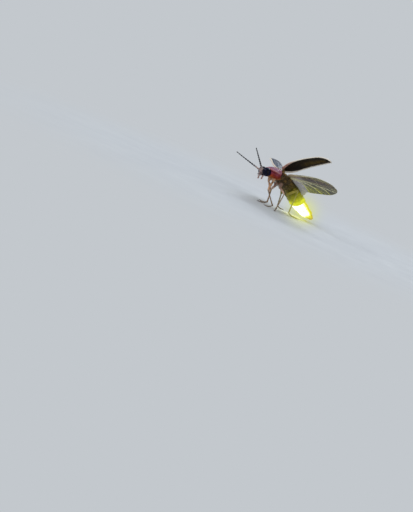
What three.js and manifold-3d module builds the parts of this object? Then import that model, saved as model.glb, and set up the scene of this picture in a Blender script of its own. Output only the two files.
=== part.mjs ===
// A male firefly, a lampyrid beetle: wing cases raised, hind wings spread, standing on six feet.
// Millimetres. +Z is up, -Y is towards the head and +X is the insect's left. The soles are at z = 0.
import * as THREE from 'three';
import { mergeVertices } from 'three/addons/utils/BufferGeometryUtils.js';
import Module from 'manifold-3d';

const wasm = await Module();
wasm.setup();

const v = (x, y, z) => new THREE.Vector3(x, y, z);
const { lerp, degToRad } = THREE.MathUtils;
const mix = (a, b, t) => a.clone().lerp(b, t);
const mirrored = (point, side) => v(point.x * side, point.y, point.z);

// Driving dimensions. Points of the body are in its own frame: y backwards, z towards the back, with the
// origin at the waist.
const GAP = 0.25; // between neighbouring solids
const THINNEST = 0.5; // plates, feelers and legs away from their tips
const BODY_ROLL = degToRad(8); // left side up
const WAIST_HEIGHT = 3.75; // joint of thorax and abdomen above the floor

const SHIELD = { width: 3.4, front: 1.4, corners: 0.45, lobe: 0.4, crest: 2.02, middle: v(0, -3.55, 0) };
const PROTHORAX_START = -4.55;
const PROTHORAX_END = -3.1;
const THORAX_WIDTH = 3.2;
const ABDOMEN_WIDTH = 3.5;
const TIP_WIDTH = 2.1;
const EYE = { centre: v(0.58, -5.22, 0.9), radius: 0.68, flat: 0.55 };
const HEAD_START = -4.8;
const HEAD_END = -5.8;
const FEELER_SEAT = { centre: v(0.32, -5.85, 0.88), radius: 0.25 };
const FEELER_JOINTS = 11;
const FEELER_TIPS = { left: v(2.5, -9.4, 3.46), right: v(-2.9, -9.2, 2.3) };
const CASE_LENGTH = 9.4;
const CASE_WIDTH = 2.0;
const CASE_ARCH = 0.25;
const CASE_DROOP = 1.14; // how far the tip bends down
const CASE_ROOT = v(0.7, -2.83, 2.03);
// Poses are sweep, lift and pitch in degrees.
const CASE_POSES = { left: [16, 25.5, 34], right: [24.8, 17.5, -6] };
const WING_LENGTH = 9.9;
const WING_ROOT = v(1.25, -1.6, 1.32);
const WING_POSES = { left: [13, 3, 32], right: [25, -3, 24] };

// Closed meshes from points

// An indexed geometry whose faces point outwards.
function facingOut(points, index) {
  let volume = 0;
  for (let i = 0; i < index.length; i += 3) {
    const [a, b, c] = [0, 1, 2].map((corner) => points[index[i + corner]]);
    volume += a.dot(b.clone().cross(c));
  }
  if (volume < 0) {
    index.reverse();
  }
  const geometry = new THREE.BufferGeometry().setFromPoints(points);
  geometry.setIndex(index);
  return geometry;
}

// A closed surface through rings of points, each ring with the same count, capped at both ends.
function ringsGeometry(rings) {
  const sides = rings[0].length;
  const points = rings.flat();
  const index = [];
  const at = (ring, side) => ring * sides + (side % sides);
  for (let ring = 0; ring + 1 < rings.length; ring++) {
    for (let side = 0; side < sides; side++) {
      index.push(at(ring, side), at(ring, side + 1), at(ring + 1, side));
      index.push(at(ring, side + 1), at(ring + 1, side + 1), at(ring + 1, side));
    }
  }
  for (const [ring, turn] of [[0, 1], [rings.length - 1, 0]]) {
    const middle = rings[ring].reduce((sum, p) => sum.add(p), v(0, 0, 0)).divideScalar(sides);
    points.push(middle);
    for (let side = 0; side < sides; side++) {
      index.push(points.length - 1, at(ring, side + turn), at(ring, side + 1 - turn));
    }
  }
  return facingOut(points, index);
}

// A closed plate between two grids of points that share their layout, so both faces split alike.
function plateGeometry(upper, lower) {
  const rows = upper.length;
  const columns = upper[0].length;
  const index = [];
  const at = (face, row, column) => (face * rows + row) * columns + column;
  const quad = (a, b, c, d) => index.push(a, b, c, a, c, d);
  for (let row = 0; row + 1 < rows; row++) {
    for (let column = 0; column + 1 < columns; column++) {
      quad(at(0, row, column), at(0, row, column + 1), at(0, row + 1, column + 1), at(0, row + 1, column));
      const [a, b, c, d] = [[0, 0], [0, 1], [1, 1], [1, 0]].map(([i, j]) => at(1, row + i, column + j));
      index.push(a, c, b, a, d, c);
    }
  }
  const lastRow = rows - 1;
  const lastColumn = columns - 1;
  for (let column = 0; column < lastColumn; column++) {
    const next = column + 1;
    quad(at(0, 0, column), at(1, 0, column), at(1, 0, next), at(0, 0, next));
    quad(at(0, lastRow, next), at(1, lastRow, next), at(1, lastRow, column), at(0, lastRow, column));
  }
  for (let row = 0; row < lastRow; row++) {
    const next = row + 1;
    quad(at(0, next, 0), at(1, next, 0), at(1, row, 0), at(0, row, 0));
    quad(at(0, row, lastColumn), at(1, row, lastColumn), at(1, next, lastColumn), at(0, next, lastColumn));
  }
  return facingOut([...upper.flat(), ...lower.flat()], index);
}

// Joins and cuts

function toSolid(geometry) {
  const bare = geometry.clone();
  bare.deleteAttribute('normal');
  bare.deleteAttribute('uv');
  const merged = mergeVertices(bare, 1e-4);
  return new wasm.Manifold(new wasm.Mesh({
    numProp: 3,
    vertProperties: merged.attributes.position.array,
    triVerts: new Uint32Array(merged.index.array),
  }));
}

const joined = (geometries) => geometries.map(toSolid).reduce((a, b) => a.add(b));

// The largest closed body of a solid, as a geometry.
function toGeometry(solid) {
  const largest = solid.decompose().sort((a, b) => b.volume() - a.volume())[0];
  const { vertProperties, triVerts } = largest.getMesh();
  const geometry = new THREE.BufferGeometry();
  geometry.setAttribute('position', new THREE.BufferAttribute(vertProperties, 3));
  geometry.setIndex(new THREE.BufferAttribute(triVerts, 1));
  return geometry;
}

// Basic forms

// An oval body along a curve in the plane of symmetry. shape(t) gives its half width and its height above and
// below the curve, and grow makes it larger all round.
function sagittalForm(curve, shape, steps, sides, grow) {
  const squareness = 0.85;
  const rounded = (c) => Math.sign(c) * Math.abs(c) ** squareness;
  const rings = Array.from({ length: steps + 1 }, (_, step) => {
    const t = step / steps;
    const along = curve.getTangent(t);
    const dorsal = v(0, -along.z, along.y);
    const centre = curve.getPoint(t).addScaledVector(along, step === 0 ? -grow : step === steps ? grow : 0);
    const { width, above, below } = shape(t);
    return Array.from({ length: sides }, (__, side) => {
      const angle = (2 * Math.PI * side) / sides;
      const height = ((Math.sin(angle) > 0 ? above : below) + grow) * rounded(Math.sin(angle));
      const across = (width + grow) * rounded(Math.cos(angle));
      return centre.clone().add(v(across, 0, 0)).addScaledVector(dorsal, height);
    });
  });
  return ringsGeometry(rings);
}

// A round piece of limb from a to b with domed ends. The radii are spaced evenly along it.
function spindle(a, b, radii, sides = 8) {
  const along = b.clone().sub(a).normalize();
  const level = (Math.abs(along.z) > 0.9 ? v(1, 0, 0) : v(0, 0, 1)).cross(along).normalize();
  const raised = along.clone().cross(level);
  const ring = (centre, radius) => Array.from({ length: sides }, (_, side) => {
    const angle = (2 * Math.PI * (side + 0.5)) / sides;
    return centre.clone()
      .addScaledVector(level, radius * Math.cos(angle))
      .addScaledVector(raised, radius * Math.sin(angle));
  });
  const [first, last] = [radii[0], radii.at(-1)];
  return ringsGeometry([
    ring(a.clone().addScaledVector(along, -0.7 * first), 0.55 * first),
    ...radii.map((radius, i) => ring(mix(a, b, i / (radii.length - 1)), radius)),
    ring(b.clone().addScaledVector(along, 0.7 * last), 0.55 * last),
  ]);
}

function ellipsoid(centre, radii, columns = 12, rows = 8) {
  return new THREE.SphereGeometry(1, columns, rows).scale(...radii).translate(...centre);
}

// Trunk of the body

const sagittal = (...points) => new THREE.CatmullRomCurve3(points.map(([y, z]) => v(0, y, z)));

// Each ring of the abdomen swells towards its rear edge.
function swelling(t, count) {
  const share = (t * count) % 1;
  return 0.95 + 0.05 * (share === 0 && t > 0 ? 1 : share);
}

const thoraxCurve = sagittal([-2.85, 1.27], [-1.7, 0.85], [-0.7, 0.32], [-GAP / 2, 0]);
function thoraxForm(grow) {
  return sagittalForm(thoraxCurve, (t) => ({
    width: (THORAX_WIDTH / 2) * lerp(0.88, 1, Math.sin(Math.PI * t)),
    above: lerp(0.72, 0.92, t),
    below: lerp(0.82, 1.0, t),
  }), 6, 20, grow);
}

const abdomenCurve = sagittal([GAP / 2, -0.12], [1.0, -0.68], [1.55, -1.06], [2.05, -1.4]);
function abdomenForm(grow) {
  return sagittalForm(abdomenCurve, (t) => ({
    width: (ABDOMEN_WIDTH / 2) * lerp(0.94, 1, t) * swelling(t, 4),
    above: 0.9 * swelling(t, 4),
    below: lerp(1.0, 1.05, t) * swelling(t, 4),
  }), 12, 20, grow);
}

const lanternCurve = sagittal([2.25, -1.54], [3.0, -1.98], [3.7, -2.36], [4.4, -2.7]);
function lanternForm(grow) {
  return sagittalForm(lanternCurve, (t) => ({
    width: (ABDOMEN_WIDTH / 2) * lerp(0.97, 0.68, t * t) * swelling(t, 2),
    above: lerp(0.86, 0.6, t) * swelling(t, 2),
    below: lerp(1.02, 0.7, t) * swelling(t, 2),
  }), 8, 20, grow);
}

const tipCurve = sagittal([4.63, -2.81], [5.0, -2.98], [5.4, -3.16]);
function tipForm(grow) {
  return sagittalForm(tipCurve, (t) => ({
    width: (TIP_WIDTH / 2) * lerp(1, 0.58, t * t),
    above: lerp(0.52, 0.28, t),
    below: lerp(0.58, 0.3, t),
  }), 4, 20, grow);
}

// The pronotum: an arched shield, rounded in front, with a shallow lobe at the rear
function shieldForm(grow) {
  const columns = 28;
  const rows = 4;
  const half = SHIELD.width / 2;
  const outline = (angle) => {
    const [across, forward] = [Math.cos(angle), Math.sin(angle)];
    const rear = SHIELD.corners * Math.abs(forward) ** 0.35 + SHIELD.lobe * forward ** 4;
    return [half * Math.sign(across) * Math.abs(across) ** 0.9, forward > 0 ? -SHIELD.front * forward : rear];
  };
  const height = (x, y, share) => {
    const forward = Math.max(0, -y / SHIELD.front);
    const rim = 0.1 * Math.max(0, share - 0.7);
    return SHIELD.crest - 0.74 * (x / half) ** 2 - 0.4 * forward ** 2.5 + rim;
  };
  const spread = 1 + grow / half;
  const face = (lift) => Array.from({ length: rows }, (_, row) => {
    const share = (row + 1) / rows;
    return Array.from({ length: columns }, (__, column) => {
      const [x, y] = outline((2 * Math.PI * column) / columns).map((c) => c * share);
      return SHIELD.middle.clone().add(v(x * spread, y * spread, height(x, y, share) + lift));
    });
  });
  return ringsGeometry([...face(grow), ...face(-1.2 * THINNEST - grow).reverse()]);
}

const prothoraxCurve = sagittal([PROTHORAX_START, 0.98], [-3.9, 1.0], [PROTHORAX_END, 1.13]);
function prothoraxForm(grow) {
  return sagittalForm(prothoraxCurve, (t) => ({
    width: lerp(1.0, 1.4, Math.sin((Math.PI / 2) * t)),
    above: lerp(0.5, 0.68, t),
    below: lerp(0.55, 0.85, Math.sin((Math.PI / 2) * t)),
  }), 4, 20, grow);
}

// Head

const headCurve = sagittal([HEAD_START, 0.92], [-5.4, 0.92], [HEAD_END, 0.72]);
function headForm(grow) {
  return sagittalForm(headCurve, (t) => ({
    width: lerp(0.85, 0.6, t),
    above: lerp(0.55, 0.42, t),
    below: lerp(0.6, 0.42, t),
  }), 4, 16, grow);
}

function feelerSeats(grow) {
  const radius = FEELER_SEAT.radius + grow;
  return [1, -1].map((side) => ellipsoid(mirrored(FEELER_SEAT.centre, side), [radius, radius, radius]));
}

// An eye is a ball cut flat on its inner side.
function eyeSolid(side, grow) {
  const radius = EYE.radius + grow;
  const ball = ellipsoid(mirrored(EYE.centre, side), [0.88 * radius, radius, radius], 20, 12);
  const size = 10;
  const outer = new THREE.BoxGeometry(size, size, size);
  outer.translate(side * (EYE.flat - grow + size / 2), EYE.centre.y, EYE.centre.z);
  return toSolid(ball).intersect(toSolid(outer));
}

function headSolid() {
  const jaws = [1, -1].map((side) => (
    spindle(v(side * 0.3, HEAD_END + 0.05, 0.42), v(side * 0.1, HEAD_END - 0.25, 0.16), [0.18, 0.15, 0.08], 6)
  ));
  const lip = ellipsoid(v(0, HEAD_END - 0.1, 0.45), [0.32, 0.24, 0.18]);
  const whole = joined([headForm(0), lip, ...jaws, ...feelerSeats(0)]);
  return whole.subtract(eyeSolid(1, GAP)).subtract(eyeSolid(-1, GAP));
}

// A feeler: joints that widen forwards, on a curve that bows outwards.
function feelerGeometry(tip, side, clearOf) {
  const root = mirrored(FEELER_SEAT.centre, side);
  const bow = v(side * 0.25, -0.25, 0.1);
  const curve = new THREE.CatmullRomCurve3([
    root, mix(root, tip, 0.35).add(bow), mix(root, tip, 0.7).addScaledVector(bow, 0.8), tip,
  ]);
  const steps = 2 * FEELER_JOINTS;
  const sides = 8;
  const frames = curve.computeFrenetFrames(steps, false);
  const rings = Array.from({ length: steps + 1 }, (_, step) => {
    const t = step / steps;
    const centre = curve.getPointAt(t);
    const radius = (THINNEST / 2) * lerp(1.04, 0.5, t ** 3) * (step % 2 === 0 ? 0.86 : 1);
    return Array.from({ length: sides }, (__, k) => {
      const angle = (2 * Math.PI * k) / sides;
      return centre.clone()
        .addScaledVector(frames.normals[step], radius * Math.cos(angle))
        .addScaledVector(frames.binormals[step], radius * Math.sin(angle));
    });
  });
  return toGeometry(toSolid(ringsGeometry(rings)).subtract(clearOf));
}

// A palp: two joints that hang from the side of the mouth.
function palpGeometry(side, clearOf) {
  const root = v(side * 0.3, -5.3, 0.45);
  const knee = v(side * 0.5, -5.55, 0);
  const end = v(side * 0.46, -5.62, -0.42);
  const palp = joined([spindle(root, knee, [0.25, 0.25]), spindle(knee, end, [0.25, 0.27, 0.16])]);
  return toGeometry(palp.subtract(clearOf));
}

// Wing cases and hind wings

// The axes of a spread wing: out along its span, back along its chord, and up. Angles are in degrees.
function wingAxes(root, side, [sweep, lift, pitch]) {
  const [s, l, p] = [sweep, lift, pitch].map(degToRad);
  const out = v(side * Math.cos(l) * Math.cos(s), Math.cos(l) * Math.sin(s), Math.sin(l));
  const back = v(0, Math.cos(p), -Math.sin(p));
  back.addScaledVector(out, -back.dot(out)).normalize();
  const up = v(0, Math.sin(p), Math.cos(p));
  up.addScaledVector(out, -up.dot(out)).addScaledVector(back, -up.dot(back)).normalize();
  return (span, chord, height) => root.clone()
    .addScaledVector(out, span)
    .addScaledVector(back, chord)
    .addScaledVector(up, height);
}

// A wing case: an arched plate with a raised rim and three low ribs. It bends down towards its tip, where the
// front edge rounds back to the rear one.
function caseGeometry(place, clearOf) {
  const spans = 16;
  const chords = 8;
  const ribs = [2, 4, 6];
  const edges = (t) => {
    const shoulder = 1 - 0.55 * (1 - Math.min(1, t / 0.24)) ** 2;
    const tipRound = Math.sqrt(1 - (Math.max(0, t - 0.78) / 0.22) ** 2);
    const rear = CASE_WIDTH * lerp(0.56, 0.26, t) * shoulder;
    const front = -CASE_WIDTH * (0.35 + 0.14 * Math.sin(Math.PI * t)) * shoulder;
    return [lerp(rear - 0.25, front, tipRound), rear];
  };
  const face = (sign) => Array.from({ length: spans + 1 }, (_, i) => {
    const t = Math.sin((Math.PI / 2) * (i / spans));
    const [front, rear] = edges(t);
    return Array.from({ length: chords + 1 }, (__, j) => {
      const across = j / chords;
      const bulge = Math.sin(Math.PI * lerp(0.12, 0.88, across)) * Math.sin(Math.PI * lerp(0.15, 0.95, t));
      const rim = j === 0 || j === chords ? 0.05 : 0;
      const rib = sign > 0 && ribs.includes(j) ? 0.06 * Math.sin(Math.PI * t) : 0;
      const half = (THINNEST / 2 + rim) * lerp(1, 0.6, t ** 12) + rib;
      const height = CASE_ARCH * bulge - CASE_DROOP * t * t + sign * half;
      return place(t * CASE_LENGTH, lerp(front, rear, across), height);
    });
  });
  return toGeometry(toSolid(plateGeometry(face(1), face(-1))).subtract(clearOf));
}

// A hind wing's margin as shares of its length, from the root along the front edge to the tip and back
const WING_MARGIN = new THREE.SplineCurve([
  [0, -0.03], [0.14, -0.055], [0.3, -0.075], [0.45, -0.09], [0.6, -0.1], [0.74, -0.09], [0.86, -0.06],
  [0.95, -0.015], [1, 0.045], [0.97, 0.105], [0.88, 0.155], [0.75, 0.19], [0.61, 0.21], [0.47, 0.225],
  [0.35, 0.24], [0.26, 0.25], [0.21, 0.28], [0.15, 0.33], [0.09, 0.345], [0.045, 0.31], [0.02, 0.22],
].map(([span, chord]) => new THREE.Vector2(span, chord).multiplyScalar(WING_LENGTH)));
const VEIN_RAYS = [0.04, 0.13, 0.24, 0.38, 0.5, 0.61, 0.71, 0.84]; // where main veins meet the margin

// A hind wing: rays that fan from near the root to the margin. Those of the veins stand out as ridges.
function hindwingGeometry(place, clearOf) {
  const steps = 8;
  const half = 0.006;
  const hub = new THREE.Vector2(-0.5, 0.1);
  const rays = [0, ...VEIN_RAYS.flatMap((ray) => [ray - half, ray, ray + half]), 1];
  const wide = 0.07;
  const filled = rays.flatMap((ray, i) => {
    const next = rays[i + 1];
    return next - ray > wide ? [ray, (ray + next) / 2] : [ray];
  });
  const face = (sign) => filled.map((ray) => {
    const end = WING_MARGIN.getPoint(ray);
    const ridge = VEIN_RAYS.includes(ray) ? (sign > 0 ? 0.14 : 0.05) : 0;
    return Array.from({ length: steps + 1 }, (_, step) => {
      const t = lerp(0.08, 1, step / steps);
      const span = lerp(hub.x, end.x, t);
      const chord = lerp(hub.y, end.y, t) - 0.35 * Math.sin(Math.PI * t) * (0.5 - ray);
      const camber = 0.3 * Math.sin(Math.PI * t) + 0.12 * Math.sin(9 * ray) * t;
      const thick = (THINNEST / 2) * (step === steps ? 0.6 : 1) + ridge * (1 - 0.6 * t);
      return place(span, chord, camber + sign * thick);
    });
  });
  return toGeometry(toSolid(plateGeometry(face(1), face(-1))).subtract(clearOf));
}

// Legs

const belowFloor = toSolid(new THREE.BoxGeometry(60, 60, 10).translate(0, 0, -5));

// A leg from its coxa to its claws. The soles of its four tarsal joints are cut flat by the floor.
function legGeometry({ hip, thigh, knee, ankle, toe }, femurRadius, clearOf) {
  const slim = THINNEST / 2;
  const pieces = [
    spindle(hip, thigh, [0.36, 0.36, 0.27]),
    spindle(thigh, knee, [slim, femurRadius, femurRadius, slim]),
    spindle(knee, ankle, [slim, slim, slim]),
  ];
  const joints = 4;
  for (let joint = 0; joint < joints; joint++) {
    const start = mix(ankle, toe, joint / joints);
    const end = mix(ankle, toe, (joint + 0.72) / joints);
    pieces.push(spindle(start, end, joint + 1 < joints ? [0.2, slim] : [0.2, 0.2], 6));
  }
  const ahead = toe.clone().sub(ankle).setZ(0).normalize();
  const across = v(-ahead.y, ahead.x, 0);
  for (const side of [1, -1]) {
    const claw = toe.clone().addScaledVector(ahead, 0.32).addScaledVector(across, side * 0.2).setZ(0.08);
    pieces.push(spindle(toe, claw, [0.12, 0.06], 5));
  }
  return toGeometry(joined(pieces).subtract(belowFloor).subtract(clearOf));
}

// Hips and thighs are points of the body. Knees, ankles and toes are above the floor under the waist.
const LEGS = {
  leg_front_left: {
    hip: [0.5, -3.6, 0.55], thigh: [0.62, -3.6, -0.1],
    knee: [1.7, -4.45, 2.4], ankle: [1.4, -2.45, 0.42], toe: [1.65, -3.75, 0.2],
  },
  leg_front_right: {
    hip: [-0.5, -3.6, 0.55], thigh: [-0.62, -3.6, -0.1],
    knee: [-0.65, -2.6, 2.0], ankle: [-0.85, -2.2, 0.42], toe: [-1.2, -3.45, 0.2],
  },
  leg_mid_left: {
    hip: [0.6, -2.1, 0.2], thigh: [0.8, -2.2, -0.6],
    knee: [2.9, -2.3, 2.75], ankle: [2.8, -2.5, 0.42], toe: [3.85, -3.3, 0.2],
  },
  leg_mid_right: {
    hip: [-0.6, -2.1, 0.2], thigh: [-0.8, -2.2, -0.6],
    knee: [-2.0, -1.7, 2.4], ankle: [-2.3, -1.3, 0.42], toe: [-3.3, -1.9, 0.2],
  },
  leg_hind_left: {
    hip: [0.6, -0.75, -0.3], thigh: [0.85, -0.6, -1.15],
    knee: [2.75, -0.15, 4.0], ankle: [2.6, -0.05, 0.42], toe: [3.0, 1.35, 0.2],
  },
  leg_hind_right: {
    hip: [-0.6, -0.75, -0.3], thigh: [-0.85, -0.6, -1.15],
    knee: [-2.3, 0.3, 2.95], ankle: [-2.5, 0.8, 0.42], toe: [-2.9, 2.15, 0.2],
  },
};

// Colours and roughness
const FINISHES = {
  black: ['#17130f', 0.25], brown: ['#2c1d12', 0.55], rose: ['#c4626a', 0.5], tan: ['#b98a62', 0.5],
  glow: ['#fbf6b0', 0.4], amber: ['#d8a52c', 0.45], membrane: ['#8d8872', 0.3],
};

function mesh(name, geometry, finish) {
  const [color, roughness] = FINISHES[finish];
  const made = new THREE.Mesh(geometry, new THREE.MeshStandardMaterial({ color, roughness, metalness: 0 }));
  made.name = name;
  return made;
}

// Assembly: the trunk first, then what grows from it, cut clear of it by the gap

const body = new THREE.Group();
body.position.z = WAIST_HEIGHT;
body.rotation.y = -BODY_ROLL;
body.updateMatrix();

const eyeRoom = eyeSolid(1, GAP).add(eyeSolid(-1, GAP));
const headRoom = joined([headForm(GAP), ...feelerSeats(GAP)]).add(eyeRoom);
const prothorax = joined([shieldForm(0), prothoraxForm(0)]).subtract(headRoom);
const prothoraxRoom = joined([shieldForm(GAP), prothoraxForm(GAP)]);
const scutellum = ellipsoid(v(0, -2.3, 1.8), [0.45, 0.5, 0.25]);
const thorax = joined([thoraxForm(0), scutellum]).subtract(prothoraxRoom);
const bodyRoom = joined([thoraxForm(GAP), abdomenForm(GAP), lanternForm(GAP)]).add(prothoraxRoom);

body.add(mesh('head', toGeometry(headSolid()), 'black'));
body.add(mesh('pronotum', toGeometry(prothorax), 'rose'));
body.add(mesh('thorax', toGeometry(thorax), 'brown'));
body.add(mesh('abdomen', abdomenForm(0), 'brown'));
body.add(mesh('lantern', lanternForm(0), 'glow'));
body.add(mesh('abdomen_tip', tipForm(0), 'amber'));

for (const [word, side] of [['left', 1], ['right', -1]]) {
  body.add(mesh(`eye_${word}`, toGeometry(eyeSolid(side, 0)), 'black'));
  body.add(mesh(`antenna_${word}`, feelerGeometry(FEELER_TIPS[word], side, headRoom), 'black'));
  body.add(mesh(`palp_${word}`, palpGeometry(side, headRoom), 'tan'));
  const casePlace = wingAxes(mirrored(CASE_ROOT, side), side, CASE_POSES[word]);
  body.add(mesh(`elytron_${word}`, caseGeometry(casePlace, bodyRoom), 'brown'));
  const wingPlace = wingAxes(mirrored(WING_ROOT, side), side, WING_POSES[word]);
  body.add(mesh(`hindwing_${word}`, hindwingGeometry(wingPlace, bodyRoom), 'membrane'));
}

const insect = new THREE.Group();
insect.add(body);
const floorRoom = toSolid(toGeometry(bodyRoom).applyMatrix4(body.matrix));
for (const [name, { hip, thigh, knee, ankle, toe }] of Object.entries(LEGS)) {
  const points = {
    hip: v(...hip).applyMatrix4(body.matrix),
    thigh: v(...thigh).applyMatrix4(body.matrix),
    knee: v(...knee),
    ankle: v(...ankle),
    toe: v(...toe),
  };
  insect.add(mesh(name, legGeometry(points, name.includes('hind') ? 0.31 : 0.28, floorRoom), 'tan'));
}

// The origin is under the middle of the whole outline.
const outline = new THREE.Box3().setFromObject(insect);
const middle = outline.getCenter(v(0, 0, 0));
insect.position.set(-middle.x, -middle.y, -outline.min.z);

const firefly = new THREE.Group();
firefly.add(insect);
export default firefly;
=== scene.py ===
"""A male firefly, a lampyrid beetle, with its wing cases raised, hind wings spread and lantern lit."""
import math
import bmesh
import bpy
import numpy as np
from mathutils import Matrix, Vector
from mathutils.kdtree import KDTree


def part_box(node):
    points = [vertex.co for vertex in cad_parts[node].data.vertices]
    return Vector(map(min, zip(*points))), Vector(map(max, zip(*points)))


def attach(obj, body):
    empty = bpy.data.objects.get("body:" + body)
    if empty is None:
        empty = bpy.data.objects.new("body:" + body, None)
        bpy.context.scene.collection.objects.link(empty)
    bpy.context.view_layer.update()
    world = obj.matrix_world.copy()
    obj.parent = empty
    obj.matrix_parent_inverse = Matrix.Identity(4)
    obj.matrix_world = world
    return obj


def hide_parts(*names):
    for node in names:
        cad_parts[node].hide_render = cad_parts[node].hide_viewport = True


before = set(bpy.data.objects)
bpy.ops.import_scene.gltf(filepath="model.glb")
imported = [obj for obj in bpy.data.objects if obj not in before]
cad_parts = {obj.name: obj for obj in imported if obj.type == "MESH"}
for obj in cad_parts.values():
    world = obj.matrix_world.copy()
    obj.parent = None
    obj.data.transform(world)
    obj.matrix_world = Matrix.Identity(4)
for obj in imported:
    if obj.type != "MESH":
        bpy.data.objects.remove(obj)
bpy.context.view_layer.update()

MM = 0.001  # forms are made in millimetres, and meshes are in metres
X, Y, Z = np.eye(3)


# Numbers and curves

def vec(*values):
    return np.array(values, float)


def even(count):
    """Even shares from 0 to 1."""
    return np.linspace(0, 1, count)


def turns(count):
    """Even angles round a circle."""
    return np.linspace(0, 2 * np.pi, count, endpoint=False)


def lerp(a, b, t):
    return a + (b - a) * t


def clamp(x):
    return np.clip(x, 0, 1)


def smooth(start, end, x):
    """0 before start, 1 after end, and an even rise between them."""
    t = clamp((x - start) / (end - start))
    return t * t * (3 - 2 * t)


def bell(x, width):
    return np.exp(-((x / width) ** 2))


def arch(x):
    """Rises from 0 to 1 half way, and falls back."""
    return np.sin(np.pi * x)


def powered(x, power):
    """A power of x that keeps its sign."""
    return np.sign(x) * np.abs(x) ** power


def unit(v):
    return v / np.maximum(np.linalg.norm(v, axis=-1, keepdims=True), 1e-12)


def square_to(v, axis):
    """v without its share along a unit axis."""
    return v - axis * (v * axis).sum(-1, keepdims=True)


def turned(a, b, angle):
    """Directions a and b, square to each other, both turned by an angle from a towards b."""
    return math.cos(angle) * a + math.sin(angle) * b, math.cos(angle) * b - math.sin(angle) * a


def mirrored(points, side):
    """One or more points of the left side, put on the left for side 1 and on the right for side -1."""
    return np.array(points, float) * vec(side, 1, 1)


def noise(points, size, seed):
    """Smooth noise from -1 to 1, with bumps about size across, from a hash of the cells' numbers."""
    factors = (73856093, 19349663, 83492791)
    cell = np.floor(points / size).astype(np.int64)
    share = points / size - cell
    share = share * share * (3 - 2 * share)
    total = 0.0
    for corner in np.ndindex(2, 2, 2):
        key = np.bitwise_xor.reduce((cell + corner) * factors, axis=-1) ^ (seed * 7919)
        key = ((key & 0x7FFFFFFF) * 48271) & 0x7FFFFFFF
        key = ((key ^ (key >> 15)) * 2246822519) & 0x7FFFFFFF
        total = total + np.where(corner, share, 1 - share).prod(-1) * ((key >> 8 & 0xFFFF) / 32767.5 - 1)
    return total


def between(points, slope, k, u, length=1.0):
    """Places on a smooth curve, u of the way from point k to the next, a length away."""
    start = (1 + 2 * u) * (1 - u) ** 2 * points[k] + u * (1 - u) ** 2 * length * slope[k]
    return start + u * u * (3 - 2 * u) * points[k + 1] - u * u * (1 - u) * length * slope[k + 1]


def curve(points, t):
    """Places on a smooth curve through the points, t from 0 to 1 by length."""
    points = np.array(points, float)
    chord = np.concatenate([[0], np.cumsum(np.linalg.norm(np.diff(points, axis=0), axis=1))])
    s = clamp(np.atleast_1d(t)) * chord[-1]
    k = np.clip(np.searchsorted(chord, s, side="right") - 1, 0, len(points) - 2)
    length = (chord[k + 1] - chord[k])[:, None]
    u = (s - chord[k])[:, None] / length
    return between(points, np.gradient(points, chord, axis=0), k, u, length)


def spine(points, t):
    """Places on a smooth curve of (y, z) points in the body's plane of symmetry."""
    return curve([(0, y, z) for y, z in points], t)


# Meshes

def quads(rows, columns):
    """Corner numbers of the quads of a band of rings of points."""
    row, column = np.indices((rows - 1, columns)).reshape(2, -1)
    here, below, after = row * columns, (row + 1) * columns, (column + 1) % columns
    return np.stack([here + column, here + after, below + after, below + column], 1)


class Form:
    """One mesh in millimetres, put together from closed surfaces, with masks for its finish."""

    def __init__(self):
        self.points, self.faces, self.masks, self.count = [], [], [], 0

    def add(self, points, faces, masks):
        """Adds a surface. faces has arrays of corner numbers, and each mask has a value for each point."""
        volume = 0.0
        for group in faces:
            for k in range(1, group.shape[1] - 1):
                a, b, c = points[group[:, 0]], points[group[:, k]], points[group[:, k + 1]]
                volume += np.einsum("ij,ij->i", a, np.cross(b, c)).sum()
        self.faces += [(group if volume > 0 else group[:, ::-1]) + self.count for group in faces]
        self.points.append(points)
        self.masks.append(masks)
        self.count += len(points)

    def rings(self, rings, **masks):
        """A closed surface through rings of points, with both ends capped."""
        rows, columns = rings.shape[:2]
        points = np.concatenate([rings.reshape(-1, 3), rings[[0, -1]].mean(1)])
        around = np.arange(columns)
        after = (around + 1) % columns
        last, hub = (rows - 1) * columns, np.full(columns, rows * columns)
        caps = [np.stack([hub, after, around], 1), np.stack([hub + 1, last + around, last + after], 1)]
        spread = {}
        for name, value in masks.items():
            value = np.broadcast_to(value, (rows, columns)).astype(float)
            spread[name] = np.concatenate([value.ravel(), value[[0, -1]].mean(1)])
        self.add(points, [quads(rows, columns), *caps], spread)

    def mesh(self, name):
        mesh = bpy.data.meshes.new(name)
        faces = [face for group in self.faces for face in group.tolist()]
        mesh.from_pydata(np.concatenate(self.points) * MM, [], faces, shade_flat=False)
        for mask in sorted({key for masks in self.masks for key in masks}):
            values = np.concatenate([m.get(mask, np.zeros(len(p))) for m, p in zip(self.masks, self.points)])
            mesh.attributes.new(mask, "FLOAT", "POINT").data.foreach_set("value", values.astype(np.float32))
        return mesh


def show(name, data):
    """A new object in the scene."""
    made = bpy.data.objects.new(name, data)
    bpy.context.scene.collection.objects.link(made)
    return made


def piece(name, form, material, slot, is_skin=True):
    """Puts a form in the scene, on the model's one body. A skin replaces the node of its name."""
    mesh = form if isinstance(form, bpy.types.Mesh) else form.mesh(name)
    mesh.materials.append(material)
    made = show(f"{name}_skin" if is_skin else name, mesh)
    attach(made, "root")
    if is_skin:
        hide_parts(name)


# Basic forms

TUBE_DOME = 4  # rings in the dome at each end of a tube
BODY_DOME = 7  # rings in the dome at each end of a part of the body


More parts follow.
